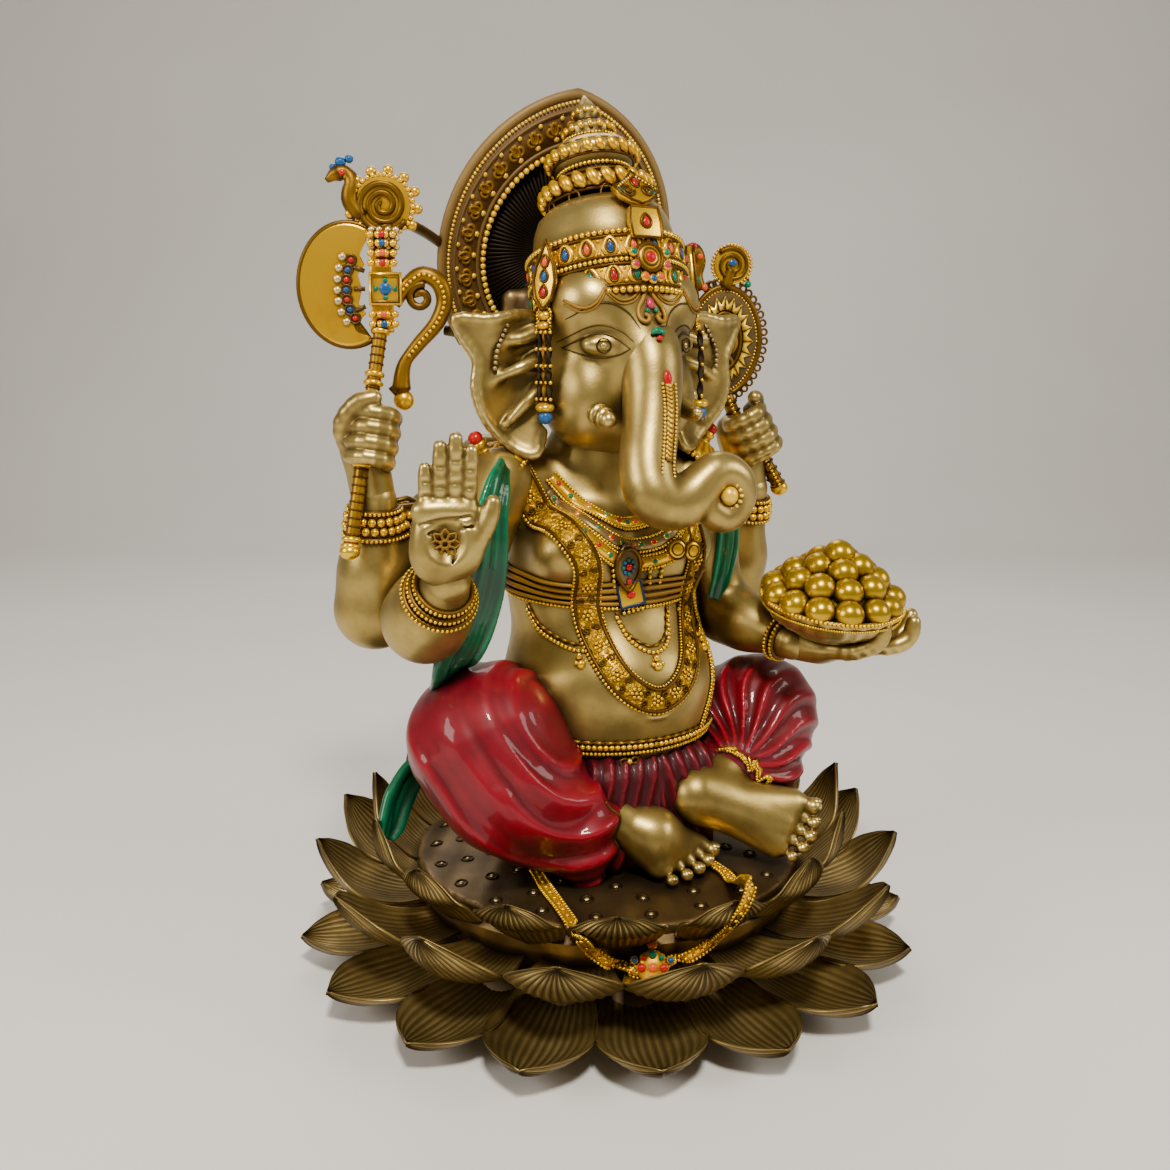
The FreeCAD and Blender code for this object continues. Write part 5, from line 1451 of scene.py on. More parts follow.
def chest_bands(stones):
    gold, ropes = Heap(), Heap()
    for z, r in ((187.2, 0.9), (184.2, 1.15), (181.0, 1.15), (178.0, 0.9)):
        line, normal = around(z, 150, lift=1.0, tip=4.0)
        sweep(ropes, line, rod_shape(r, 8), normal)
    line, normal = around(176.0, 150, lift=0.4, tip=4.0)
    beads(gold, line, 0.95)
    for pts in (((-44, 173), (-40, 163), (-31, 157.5), (-23, 161), (-19, 171)),
            ((-13, 171), (-9, 161), (0, 156), (9, 160), (13, 171)),
                ((20, 171), (24, 162), (32, 158), (40, 164), (44, 173))):
        line, normal = on_torso(pts, 60, 0.5)
        cord_of(gold, line, 0.8, normal)
        line, normal = on_torso([(x * 1.0, z - 2.6) for x, z in pts], 60, 0.5)
        beads(gold, line, 1.05)
        low, _ = on_torso([pts[2], (pts[2][0] + 0.1, pts[2][1] - 9)], 10, 0.6)
        bead(gold, low[5], (1.5, 1.2, 1.9))
        bead(gold, low[8], (2.2, 1.4, 2.2))
        for s in (-1, 1):
            bead(gold, low[7] + vec(s * 2.3, 0, 0), 1.0)
    line, normal = on_torso([(-6.5, 178), (-6.4, 179)], 4, 1.2)
    at, n = line[1], normal[1]
    turn = axes(vec(cos(0.16), 0, sin(0.16)), n)
    square = [(-5.5, -5.0), (5.5, -5.0), (5.5, 5.0), (-5.5, 5.0)]
    plate(gold, square, at, turn, 2.6, 0.1)
    blue = stones.setdefault(BLUE.name, (Heap(), BLUE))[0]
    sweep(blue, loop3([(x * 1.05, y * 1.05) for x, y in square], at, turn, 1.2), rod_shape(0.8, 8),
            turn[:, 2], closed=True)
    stone(stones, at + turn[:, 2] * 1.3, turn, (2.2, 1.9, 1.2), RED)
    beads(gold, [at + turn[:, 0] * x - turn[:, 1] * 7.6 for x in (-4.5, 4.5)], 0.9)
    gold.done("chest_bands", GOLD, ("chest_band", "chest_pendant"))
    ropes.done("chest_ropes", YELLOW, slot="gold")


def necklaces(stones):
    gold, dark = Heap(), Heap()
    rows = (((-30, 228), (-20, 216), (-9, 209), (2, 208), (13, 212), (24, 224)),
            ((-33, 222), (-23, 209), (-11, 201), (2, 199), (15, 204), (27, 218)),
            ((-34, 216), (-25, 203), (-13, 194), (1, 191.5), (16, 196), (29, 211)))
    colours = (RED, GREEN, ORANGE, GREEN)
    for k, pts in enumerate(rows):
        line, normal = on_torso(pts, 80, 0.8)
        band = [(-2.4, -0.5), (-2.2, 0.7), (0, 1.0), (2.2, 0.7), (2.4, -0.5)]
        sweep(gold if k != 1 else dark, line, band, normal)
        t, side, _ = frames(line, normal)
        beads(gold, line + side * 3.0, 0.8)
        beads(gold, line - side * 3.0, 0.8)
        for i in range(4, 78, 7):
            turn = np.array([side[i], t[i], normal[i]]).T
            bead(gold, line[i] + normal[i] * 0.6, (1.7, 1.7, 0.9), turn)
            stone(stones, line[i] + normal[i] * 1.2, turn, (1.15, 1.15, 0.8), colours[(i // 7 + k) % 4])
    for x0, z0, w, h in ((-9, 191, 7.0, 9.0),):
        line, normal = on_torso([(x0, z0), (x0 + 0.1, z0 + 1)], 3, 1.8)
        turn = axes((1, 0, 0.05), normal[0])
        plate(dark, drop_outline(w, h), line[0], turn, 2.4, 0.12)
        sweep(gold, loop3([(x, -y) for x, y in drop_outline(w, h, 26)], line[0], turn, 1.3),
                rod_shape(0.9, 8), turn[:, 2], closed=True)
        for q in range(8):
            a = 2 * pi * q / 8
            stone(stones, line[0] + turn[:, 0] * 3.0 * cos(a) + turn[:, 1] * 3.0 * sin(a) + turn[:, 2]
                    * 1.4, turn,
                  (1.0, 1.0, 0.8), BLUE if q % 2 else GREEN)
        stone(stones, line[0] + turn[:, 2] * 1.6, turn, (1.7, 1.7, 1.1), RED)
        stone(stones, line[0] - turn[:, 1] * 6.6 + turn[:, 2] * 1.5, turn, (1.4, 1.4, 1.0), RED)
    for x0, z0 in ((16, 197), (23, 196)):
        line, normal = on_torso([(x0, z0), (x0 + 0.1, z0 + 1)], 3, 1.4)
        turn = axes((1, 0, 0), normal[0])
        bead(gold, line[0], (4.6, 4.8, 1.8), turn, fine=True)
        for r in (4.3, 2.6):
            ring = spiral(line[0] + turn[:, 2] * (1.9 - r * 0.25), turn, r, r, 1, 0, 25)[:-1]
            sweep(gold, ring, rod_shape(0.5, 6), turn[:, 2], closed=True)
    for x0 in (-15.5, -4, 4, 10):
        line, normal = on_torso([(x0, 190), (x0 * 0.85, 180)], 24, 1.0)
        beads(gold, line, 1.0)
    gold.done("necklaces", GOLD, ("collar",))
    dark.done("necklace_ground", PATINA, slot="gold")


def belt():
    gold = Heap()
    for z, r in ((113.2, 1.35), (110.0, 0.95)):
        line, normal = around(z, 200, lift=0.8, tip=0.5)
        beads(gold, line, r)
    line, normal = around(115.4, 200, lift=0.4, tip=0.5)
    cord_of(gold, line, 0.9, normal)
    line, normal = on_torso([(-12, 106.5), (-11, 106)], 3, 2.2)
    at = line[1]
    for s in (-1, 1):
        sweep(gold, [at + vec(s * q, 0, z) for q,
                z in ((0, 0), (2.5, 1.8), (4.5, 1.2), (4.4, -1.0), (2.2, -1.2), (0, 0))],
              rod_shape(0.7, 6), (0, -1, 0))
    bead(gold, at, 1.5)
    line, normal = on_torso([(26.5, 200), (33, 180), (36.5, 160), (35, 138), (30, 118), (26, 104)], 90, 0.6)
    beads(gold, line, 1.0)
    _, side, _ = frames(line, normal)
    beads(gold, line + side * 2.2, 0.75)
    gold.done("waist_belt", GOLD, ("waist_belt",))


def hems():
    """Gold edges of the lower garment."""
    gold = Heap()
    edge = spline([vec(-28, -51, 92), vec(-24, -53, 84), vec(-21.5, -52, 74), vec(-20.5, -50, 64),
            vec(-21, -48, 53)], 40)
    edge = settle(right_leg_field, edge, 0.1)
    sweep(gold, edge, rod_shape(0.8, 6), slope(right_leg_field, edge))
    edge = spline([vec(38, -48, 108), vec(44, -52, 102), vec(51, -56, 94), vec(57, -57, 84),
            vec(60, -56, 74)], 40)
    edge = settle(left_leg_field, edge, 0.2)
    sweep(gold, edge, [(-1.2, 0), (0, 0.9), (1.2, 0), (0, -0.6)], slope(left_leg_field, edge))
    beads(gold, edge + slope(left_leg_field, edge) * 0.5 - vec(1.6, 0, 0), 0.7)
    gold.done("garment_hems", GOLD)


def wrist_rings():
    gold = Heap()
    jobs = (("front_right", ((-3, "rope"), (-6.5, "rope"), (-10, "rope"))),
            ("rear_right", ((-1, "rope"), (-4.5, "bead"), (-8.5, "bead"), (-12.3, "rope"))),
            ("front_left", ((-2, "rope"), (-5, "rope"))),
            ("rear_left", ((-1, "rope"), (-4.2, "bead"), (-8, "bead"), (-11, "rope"))))
    for name, rows in jobs:
        field = arm_field(name)
        along = unit(WRIST[name] - ELBOW[name])
        turn = axes((1, 0.2, 0.1), along)
        for shift, kind in rows:
            centre = WRIST[name] + along * shift
            a = np.linspace(0, 2 * pi, 60, endpoint=False)
            way = np.cos(a)[:, None] * turn[:, 0] + np.sin(a)[:, None] * turn[:, 1]
            t = np.full(60, 30.0)
            for _ in range(40):
                t -= np.clip(field(centre + way * t[:, None]), -2, 6)
            hit = centre + way * np.clip(t, 8, 20)[:, None]
            if kind == "rope":
                sweep(gold, hit + way * 0.6, rod_shape(1.3, 8), along, closed=True)
                beads(gold, list(hit + way * 1.7) + [hit[0] + way[0] * 1.7], 0.8, 1.9)
            else:
                beads(gold, list(hit + way * 1.2) + [hit[0] + way[0] * 1.2], 1.9, 3.7)
    gold.done("wrist_bangles", GOLD, ("bangles",))


def palm_rosette(heap):
    at = palm_point(-1.0, -3, 6.4)
    turn = np.array([PALM_X, PALM_UP, PALM_Z]).T
    for k in range(8):
        a = 2 * pi * k / 8
        way = turn[:, 0] * cos(a) + turn[:, 1] * sin(a)
        side = np.cross(PALM_Z, way)
        tip = at + way * 6.2
        for s in (-1, 1):
            line = spline([at + way * 1.4, at + way * 3.6 + side * s * 1.6, tip], 10)
            sweep(heap, line, rod_shape(0.42, 6), PALM_Z)
    ring = spiral(at, turn, 1.5, 1.5, 1, 0, 17)[:-1]
    sweep(heap, ring, rod_shape(0.45, 6), PALM_Z, closed=True)


# ------------------------------------------------------------------ cloth and shoulder caps

def pleated(path, width, thick, strands, seed=1):
    """Cloth gathered into long soft folds that run along the path."""
    rng = np.random.default_rng(seed)
    pts = spline(path, 22)
    _, side, top = frames(pts, vec(0.2, -1, 0.1))
    n = len(pts)
    w = np.interp(np.linspace(0, 1, n), np.linspace(0, 1, len(width)), width)
    lines = []
    for k in range(strands):
        u = (k + 0.5) / strands * 2 - 1
        phase = rng.uniform(0, 6)
        wob = 0.5 * np.sin(np.linspace(0, 5, n) + phase)
        off = side * (u * w + wob)[:, None] + top * (thick * 0.35 * (rng.uniform(-1, 1)) * np.ones(n))[:,
                None]
        lines.append((pts + off, np.full(n, thick * rng.uniform(0.7, 1.0))
                * np.clip(w / max(width), 0.45, 1)))

    def field(p):
        d = None
        for line, r in lines:
            e = chain(p, line, r, 0.05)
            d = e if d is None else melt(d, e, 1.3)
        return d
    return field


def cloth():
    right = pleated([vec(-58, -16, 236), vec(-64, -25, 230), vec(-69, -29, 217), vec(-71, -30, 200),
            vec(-74, -29, 184),
                     vec(-79, -26, 167), vec(-84, -20, 153), vec(-84, -8, 142)],
                     [4, 6, 7.5, 8.5, 9.5, 10, 10, 8], 2.5, 6, seed=3)
    sculpt("right_shawl", right, (-102, -42, 132), (-40, 10, 252), 0.85, EMERALD, ("right_shawl",))
    tail = pleated([vec(-80, 30, 96), vec(-88, 30, 88), vec(-95, 28, 78), vec(-100, 24, 68),
            vec(-103, 22, 63)],
                   [5, 7, 8, 7, 4], 2.6, 5, seed=5)
    sculpt("shawl_tail", tail, (-116, 10, 56), (-70, 42, 104), 0.85, EMERALD, ("shawl_tail",))
    left = pleated([vec(47, -18, 228), vec(53, -18, 212), vec(55, -16, 194), vec(53, -15, 178),
            vec(50, -14, 168)],
                   [3, 5, 5.5, 4.5, 3], 2.4, 4, seed=8)
    sculpt("left_shawl", left, (38, -30, 162), (68, -4, 234), 0.8, EMERALD, ("left_shawl",))


def shoulder_caps(stones):
    for s, name in ((-1, "right_epaulette"), (1, "left_epaulette")):
        centre = vec(s * 50, 12, 229)
        out = unit(vec(s * 0.55, -0.12, 0.83))
        turn = axes((0, -1, 0), out)

        def field(p, centre=centre, turn=turn, s=s):
            q = (p - centre) @ turn
            r = np.hypot(q[..., 0], q[..., 1])
            a = np.arctan2(q[..., 1], q[..., 0])
            dome = 11.5 - 0.030 * r ** 2
            rib = 0.9 * np.abs(np.sin(a * 9)) * np.clip(r / 8, 0, 1)
            ring = 0.7 * np.exp(-((r - 6.5) / 0.9) ** 2) + 0.8 * np.exp(-((r - 15.4) / 1.1) ** 2)
            shell = np.abs(q[..., 2] - dome - rib - ring) - 1.6
            return np.maximum(shell * 0.8, r - 17.2)
        low, high = centre - 24, centre + 24
        sculpt(name, field, low, high, 0.85, GOLD, (name,))
    gold = Heap()
    for s in (-1, 1):
        centre = vec(s * 50, 12, 229)
        out = unit(vec(s * 0.55, -0.12, 0.83))
        turn = axes((0, -1, 0), out)
        ring = spiral(centre + out * 3.2, turn, 17.4, 17.4, 1, 0, 49)
        beads(gold, ring, 1.2)
        tip = centre + out * 12.4
        spun(gold, [(5.0, -1), (5.2, 0.6), (3.4, 1.6), (3.0, 3.2), (3.9, 4.6), (3.4, 6)], tip, out, 24)
        bead(stones.setdefault(RED.name, (Heap(), RED))[0], tip + out * 7.6, (3.4, 3.4, 3.0), turn, fine=True)
    gold.done("shoulder_cap_trim", GOLD)


# ------------------------------------------------------------------ axe

FACE = unit(vec(-0.36, -0.93, 0.0))
ACROSS = unit(np.cross(UP, FACE)) * -1
if ACROSS[0] < 0:
    ACROSS = -ACROSS
HELD = np.array([ACROSS, UP, FACE]).T


def held(centre, x, z, lift=0.0):
    return np.asarray(centre, float) + ACROSS * x + UP * z + FACE * lift


def axe(stones):
    rod, gold, pale = Heap(), Heap(), Heap()
    line = [SHAFT_LOW + (SHAFT_HIGH - SHAFT_LOW) * t for t in np.linspace(0, 1, 40)]
    sweep(rod, line, rod_shape(2.9, 14), FACE)
    for t in (0.0, 0.03, 0.36, 0.4, 0.72, 0.76, 0.95):
        spot = SHAFT_LOW + (SHAFT_HIGH - SHAFT_LOW) * t
        spun(rod, [(2.6, -1.6), (4.1, -0.8), (4.3, 0.4), (3.0, 1.5)], spot, SHAFT_HIGH - SHAFT_LOW, 24)
    bead(rod, SHAFT_LOW - unit(SHAFT_HIGH - SHAFT_LOW) * 2, (4.4, 4.4, 3.6), fine=True)
    for k in range(26):
        spot = SHAFT_LOW + (SHAFT_HIGH - SHAFT_LOW) * (0.05 + 0.9 * k / 25)
        turn = axes(ACROSS, SHAFT_HIGH - SHAFT_LOW)
        ring = spiral(spot, turn, 3.0, 3.0, 1, 0, 15)[:-1]
        sweep(rod, ring, rod_shape(0.4, 5), turn[:, 2], closed=True)
    rod.done("axe_shaft", GOLD, ("axe_shaft",))
    c = vec(-98, 18, 309)
    blade = []
    for a in np.linspace(radians(62), radians(298), 44):
        blade.append((-14.5 + 20.5 * cos(a), 1 + 26.5 * sin(a) * (0.98 if sin(a) > 0 else 0.94)))
    inner = [(-11, -19), (-10.5, -13.5), (-7.5, -10), (-10.5, -6), (-9, 0), (-10.5, 6), (-7.5, 10),
            (-9.5, 14), (-7, 19)]
    blade += inner[::1] if blade[-1][1] < 0 else inner[::-1]
    sculpt_plate(gold, blade, c, 4.4)
    rim = [held(c, x * 0.995, z * 0.995, 1.2) for x, z in blade[:44]]
    sweep(gold, rim, rod_shape(1.2, 8), FACE)
    for k, (x, z) in enumerate(((-16.5, 13), (-18, 8.5), (-18.7, 4), (-18.9, -0.5), (-18.7, -5),
            (-17.6, -9.5), (-15.5, -13.5))):
        bead(pale, held(c, x, z, 2.6), (1.7, 1.7, 1.3), HELD, fine=True)
        stone(stones, held(c, x + 3.6, z * 0.9, 2.6), HELD, (1.25, 1.25, 0.9), (RED, BLUE)[k % 2])
        sweep(pale, spiral(held(c, x + 3.6, z * 0.9, 2.4), HELD, 2.1, 2.1, 1, 0, 15)[:-1],
                rod_shape(0.5, 5), FACE, closed=True)
    for z in (-9, 0, 9):
        sweep(pale, [held(c, -12, z, 2.2), held(c, -7.5, z * 0.8, 2.2)], rod_shape(1.0, 6), FACE)
    plate(gold, [(-4.5, -18), (4.5, -18), (4.5, 22), (-4.5, 22)], c + (0, 1.5, 0), HELD, 7, 0.08)
    plate(gold, [(-6.8, -6.8), (6.8, -6.8), (6.8, 6.8), (-6.8, 6.8)], held(c, 1, 0, 2.5), HELD, 4.6, 0.16)
    sweep(gold, [held(c, 1 + x, z, 5.0) for x, z in ((-5.4, -5.4), (5.4, -5.4), (5.4, 5.4), (-5.4, 5.4))],
            rod_shape(0.8, 8),
          FACE, closed=True)
    stone(stones, held(c, 1, 0, 4.8), HELD, (2.6, 2.6, 1.4), BLUE)
    for x, z in ((-3, 0), (5, 0), (1, 3.6), (1, -3.6)):
        stone(stones, held(c, x, z, 4.8), HELD, (1.1, 1.1, 0.8), GREEN)
    for k, z in enumerate((10.5, 14.5, 18.5, 22.0, -10.5, -14.5)):
        for x in (-4.6, -1.5, 1.6, 4.7):
            bead(gold, held(c, x, z, 4.2), (1.7, 1.7, 1.6), HELD)
        stone(stones, held(c, 0.2, z, 5.4), HELD, (1.5, 1.5, 1.0), (RED, ORANGE, BLUE)[k % 3])
    top = vec(-97, 18, 343)
    sculpt_plate(gold, [(11.5 * cos(a), 12.5 * sin(a)) for a in np.linspace(0, 2 * pi, 32, endpoint=False)],
            top, 4.0)
    sweep(gold, spiral(held(top, 0, 0, 2.4), HELD, 11, 1.6, 2.6, -0.6, 90, -1), rod_shape(1.25, 8), FACE)
    beads(gold, spiral(held(top, 0, 0, 1.6), HELD, 12.4, 12.4, 0.8, -1.2, 60, 1), 1.2)
    for a in np.linspace(-0.6, 3.4, 9):
        bead(gold, held(top, 14.2 * cos(a), 14.2 * sin(a), 0.5), (2.2, 2.2, 1.7), HELD, fine=True)
    bird = spline([held(top, -9, -5), held(top, -13.5, 2), held(top, -12.5, 9), held(top, -15, 13),
            held(top, -19.5, 12),
                   held(top, -23, 9.5)], 24)
    sweep(gold, bird, rod_shape(3.4, 10), FACE,
            scale=np.interp(np.linspace(0, 1, 24), [0, .3, .55, .75, 1], [1.1, 1.1, .8, 1.0, .3]))
    for x, z, r in ((-17, 17, 2.3), (-13.4, 18.3, 1.8), (-20.2, 15, 1.5)):
        stone(stones, held(top, x, z, 0), HELD, (r, r, r), BLUE)
    stone(stones, held(top, -16.2, 12.6, 3.4), HELD, (1.4, 1.2, 0.8), RED)
    neck = [held(top, 0, -22), held(top, 0.5, -12), held(top, 0, -8)]
    sweep(gold, spline(neck, 12), rod_shape(4.2, 10), FACE)
    for z in (-10, -13.5, -17):
        for x in (-5, -1.7, 1.7, 5):
            bead(pale, held(top, x, z, 3.0), (1.6, 1.6, 1.4), HELD)
    hook = spline([held(c, 4, -6), held(c, 9, 0.5), held(c, 16, 6), held(c, 23, 3), held(c, 25.5, -5),
            held(c, 22, -14),
                   held(c, 14, -23), held(c, 8, -31), held(c, 6.4, -40), held(c, 7, -46)], 60)
    sweep(gold, hook, rod_shape(3.1, 12), FACE,
            scale=np.interp(np.linspace(0, 1, 60), [0, .3, .5, .75, .92, 1],
                                                             [1, 1.2, 1.15, .85, 1.35, .3]))
    beads(gold, [q + FACE * 3.4 for q in hook[4:44]], 0.9, 2.2)
    curl = spiral(held(c, 15.5, -3.5, 1.2), HELD, 5.6, 1.2, 1.3, 1.2, 36, 1)
    sweep(gold, curl, rod_shape(1.7, 8), FACE)
    pts = [held(c, 7, -46.5, 0.5), held(c, 2, -40.5, 0.5)]
    sweep(gold, pts, rod_shape(1.6, 8), FACE)
    bead(gold, held(c, 7.2, -46.5), (4.4, 4.4, 3.6), HELD, fine=True)
    gold.done("axe_head", GOLD, ("axe_blade", "axe_finial", "axe_hook"))
    pale.done("axe_inlay", SILVER, slot="gold")
    tie = Heap()
    for a, b, r in (((-71, 17, 292), (-60, 6, 288), 2.2), ((-87, 20, 337), (-57, 56, 331), 2.4)):
        sweep(tie, spline([vec(*a), 0.5 * (vec(*a) + vec(*b)) + (0, 0, 0.6), vec(*b)], 10),
                rod_shape(r, 10), (0.2, 0.3, 1))
    tie.done("tie_bars", BRONZE, ("ear_tie_bar", "halo_tie_bar"), "bronze")


def sculpt_plate(heap, outline, centre, thick):
    outline = np.asarray(outline, float)
    area = 0.5 * np.sum(outline[:, 0] * np.roll(outline[:, 1], -1) - np.roll(outline[:, 0], -1)
            * outline[:, 1])
    plate(heap, outline if area > 0 else outline[::-1], centre, HELD, thick, 0.06)


# ------------------------------------------------------------------ noose

def noose(stones):
    rim, sun, ground = Heap(), Heap(), Heap()
    c = vec(75, 21, 287)

    def egg(w, h, n=48, shift=0.0):
        pts = []
        for k in range(n):
            a = 2 * pi * k / n
            y = sin(a)
            pts.append((w * cos(a) * (1 - 0.10 * y * (y < 0) * -1), h * y + shift))
        return pts
    sculpt_plate(ground, egg(17.2, 25.4), c, 3.0)
    ground.done("noose_ground", PATINA, ("noose_ring",), "gold")
    for w, h, r, lift in ((17.6, 25.8, 1.5, 0.8), (8.2, 13.6, 0.9, 1.6)):
        sweep(rim, [held(c, x, z, lift) for x, z in egg(w, h)], rod_shape(r, 8), FACE, closed=True)
    line = [held(c, x, z, 0) for x, z in egg(20.2, 28.2, 80)]
    for k in range(-16, 27, 2):
        q = line[k % 80]
        ring = spiral(q, HELD, 1.5, 1.5, 1, 0, 11)[:-1]
        sweep(rim, ring, rod_shape(0.6, 6), FACE, closed=True)
    beads(rim, [held(c, x, z, 1.4) for x, z in egg(16.0, 24.0)], 0.6, 1.6)
    outer, inner = np.array(egg(14.2, 21.6, 40)), np.array(egg(9.4, 15.0, 40))
    ring = []
    for k in range(40):
        ring.append(outer[k] if k % 2 == 0 else 0.35 * outer[k] + 0.65 * inner[k])
    n = 40
    verts = [held(c, *q, 2.2) for q in ring] + [held(c, *q, 2.6) for q in inner] + [held(c, *q, 0.4)
            for q in ring]
    faces = [(k, (k + 1) % n, n + (k + 1) % n, n + k) for k in range(n)]
    faces += [((k + 1) % n, k, 2 * n + k, 2 * n + (k + 1) % n) for k in range(n)]
    faces += [(n + k, n + (k + 1) % n, 2 * n + (k + 1) % n, 2 * n + k) for k in range(n)]
    sun.add(np.array(verts), faces)
    for k in range(0, 40, 2):
        a, b = held(c, *(0.95 * outer[k]), 2.5), held(c, *inner[k], 2.8)
        sweep(rim, [a, b], rod_shape(0.35, 5), FACE)
    sweep(sun, spiral(held(c, 0, -1, 2.2), HELD, 6.4, 0.8, 1.7, 1.2, 50, -1), rod_shape(1.0, 8), FACE)
    sweep(sun, spline([held(c, -6, -8, 2.2), held(c, 0, -6, 2.6), held(c, 4, -10, 2.2), held(c, 1, -13, 2)],
            20), rod_shape(0.9, 8), FACE)
    sun.done("noose_sun", YELLOW, slot="gold")
    top = held(c, 3, 36)
    sculpt_plate(rim, [(8.6 * cos(a), 9.2 * sin(a)) for a in np.linspace(0, 2 * pi, 28, endpoint=False)],
            top, 3.6)
    sweep(rim, spiral(held(top, 0, 0, 2.0), HELD, 8.4, 1.2, 2.2, 2.4, 70, -1), rod_shape(1.0, 8), FACE)
    beads(rim, spiral(held(top, 0, 0, 1.0), HELD, 9.6, 9.6, 0.8, -1.0, 60, 1), 0.9)
    stone(stones, held(top, 0, 1, 2.4), HELD, (2.2, 1.6, 1.0), BLUE)
    body = spline([held(c, -12, 24), held(c, -14, 31), held(c, -12.5, 38), held(c, -15.5, 43),
            held(c, -19, 40), held(c, -19.5, 34)], 24)
    sweep(rim, body, rod_shape(3.3, 10), FACE,
            scale=np.interp(np.linspace(0, 1, 24), [0, .4, .7, 1], [1, .9, 1.2, .5]))
    for x, z, colour, r in ((-16.5, 44, RED, 2.6), (-18.6, 39, BLUE, 2.2), (-18.2, 34.6, GREEN, 2.4),
            (-14, 29, GREEN, 2.0),
                            (-10.5, 25.5, ORANGE, 1.8), (-13, 40, ORANGE, 1.8), (11, 27, GREEN, 1.6)):
        stone(stones, held(c, x, z, 2.0), HELD, (r, r, 1.5), colour)
    stem = spline([held(c, 0, 25), held(c, 1.5, 30), held(c, 3, 34)], 8)
    sweep(rim, stem, rod_shape(3.4, 10), FACE)
    for x, z in ((6, 27), (9.5, 28.4), (-4, 27.5), (-7.5, 26.4)):
        ring = spiral(held(c, x, z, 1), HELD, 1.9, 1.9, 1, 0, 13)[:-1]
        sweep(rim, ring, rod_shape(0.7, 6), FACE, closed=True)
    rim.done("noose_rim", GOLD, ("noose_finial",))
    grip = Heap()
    line = spline([vec(76, 20, 262), vec(80, 16, 250), vec(86, 12, 240), vec(94, 10, 228),
            vec(101, 9, 217)], 50)
    sweep(grip, line, rod_shape(3.3, 12), FACE)
    for k in range(1, 50, 4):
        t, side, _ = frames(line, FACE)
        turn = axes(side[k], t[k])
        sweep(grip, spiral(line[k], turn, 3.5, 3.5, 1, 0, 15)[:-1], rod_shape(0.7, 6), t[k], closed=True)
    beads(grip, line + FACE * 3.4, 0.9, 2.0)
    bead(grip, vec(102, 9, 215), (4.4, 4.4, 4.0), fine=True)
    grip.done("noose_handle", GOLD, ("noose_handle",))


# ------------------------------------------------------------------ bowl of sweets

def offering():
    base = vec(86, -54, 156)
    lean = radians(10)
    up = vec(0, -sin(lean), cos(lean))
    dish, rim = Heap(), Heap()
    spun(dish, [(12, -0.4), (16.5, 0.2), (19, 2.2), (24, 4.6), (28.6, 8.4), (31, 12.6), (32, 15.6),
            (31.6, 16.6), (30, 16.4),
                (29, 13), (26, 9.4), (20, 6), (6, 4)], base, up, 96, lambda a, r,
                h: 1 + 0.012 * sin(a * 24) * (h > 1) * (h < 14) * (r > 15))
    dish.done("bowl", BRONZE, ("bowl",), "bronze")
    turn = axes((1, 0, 0), up)
    for h, r, size in ((15.8, 32.3, 1.0), (12.6, 31.6, 0.6)):
        ring = [base + up * h + r * (turn[:, 0] * cos(a) + turn[:, 1] * sin(a))
                for a in np.linspace(0, 2 * pi, 80)]
        beads(rim, ring, size)
    rim.done("bowl_rim", GOLD, slot="gold")
    heap = Heap()
    fill = [(28, 14), (26, 19), (20, 23), (12, 27), (3, 30)]
    spun(heap, [(22, 8)] + fill, base, up, 48)
    spots = [(26.4 * cos(a), 26.4 * sin(a), 18.0) for a in np.linspace(0, 2 * pi, 13, endpoint=False)]
    spots += [(18.2 * cos(a), 18.2 * sin(a), 26.0) for a in np.linspace(0.2, 2 * pi + 0.2, 9, endpoint=False)]
    spots += [(9.0 * cos(a), 9.0 * sin(a), 32.0) for a in np.linspace(0.5, 2 * pi + 0.5, 5, endpoint=False)]
    spots.append((0, 0, 37.0))
    for x, y, h in spots:
        jitter = RNG.uniform(-0.8, 0.8, 3)
        r = 7.1 + RNG.uniform(-0.25, 0.25)
        at = base + turn[:, 0] * (x + jitter[0]) + turn[:, 1] * (y + jitter[1]) + up * (h + jitter[2] * 0.7)
        bead(heap, at, (r, r, r * 0.97), fine=True)
    heap.done("bowl_sweets", SWEET, ("bowl_sweets",), "gold")
    single = Heap()
    bead(single, vec(22, -66.5, 224), (4.0, 4.0, 4.2), fine=True)
    for k in range(14):
        a = 2 * pi * k / 14
        turn = axes((1, 0, 0), VIEW)
        way = turn[:, 0] * cos(a) + turn[:, 1] * sin(a)
        bead(single, vec(22, -66, 224) + way * 5.6, (1.2, 0.9, 1.6), axes(way, VIEW))
    single.done("trunk_sweet", YELLOW, ("trunk_sweet",), "gold")


# ------------------------------------------------------------------ seat chains

def tree_of(*names):
    verts, faces = [], []
    for name in names:
        mesh = bpy.data.objects[name].data
        base = len(verts)
        verts += [v.co / MM for v in mesh.vertices]
        faces += [tuple(base + i for i in f.vertices) for f in mesh.polygons]
    return BVHTree.FromPolygons(verts, faces)


def draped(tree, points, way, count=60, lift=1.0):
    """A line of points dropped along way onto meshes."""
    out, normals = [], []
    for p in spline(points, count):
        hit, normal, _, _ = tree.ray_cast(Vector(p - np.asarray(way) * 90), Vector(way))
        if hit is None:
            hit, normal = Vector(p), Vector(-np.asarray(way))
        normal = np.array(normal)
        if normal @ np.asarray(way) > 0:
            normal = -normal
        out.append(np.array(hit) + normal * lift)
        normals.append(normal)
    return np.array(out), np.array(normals)


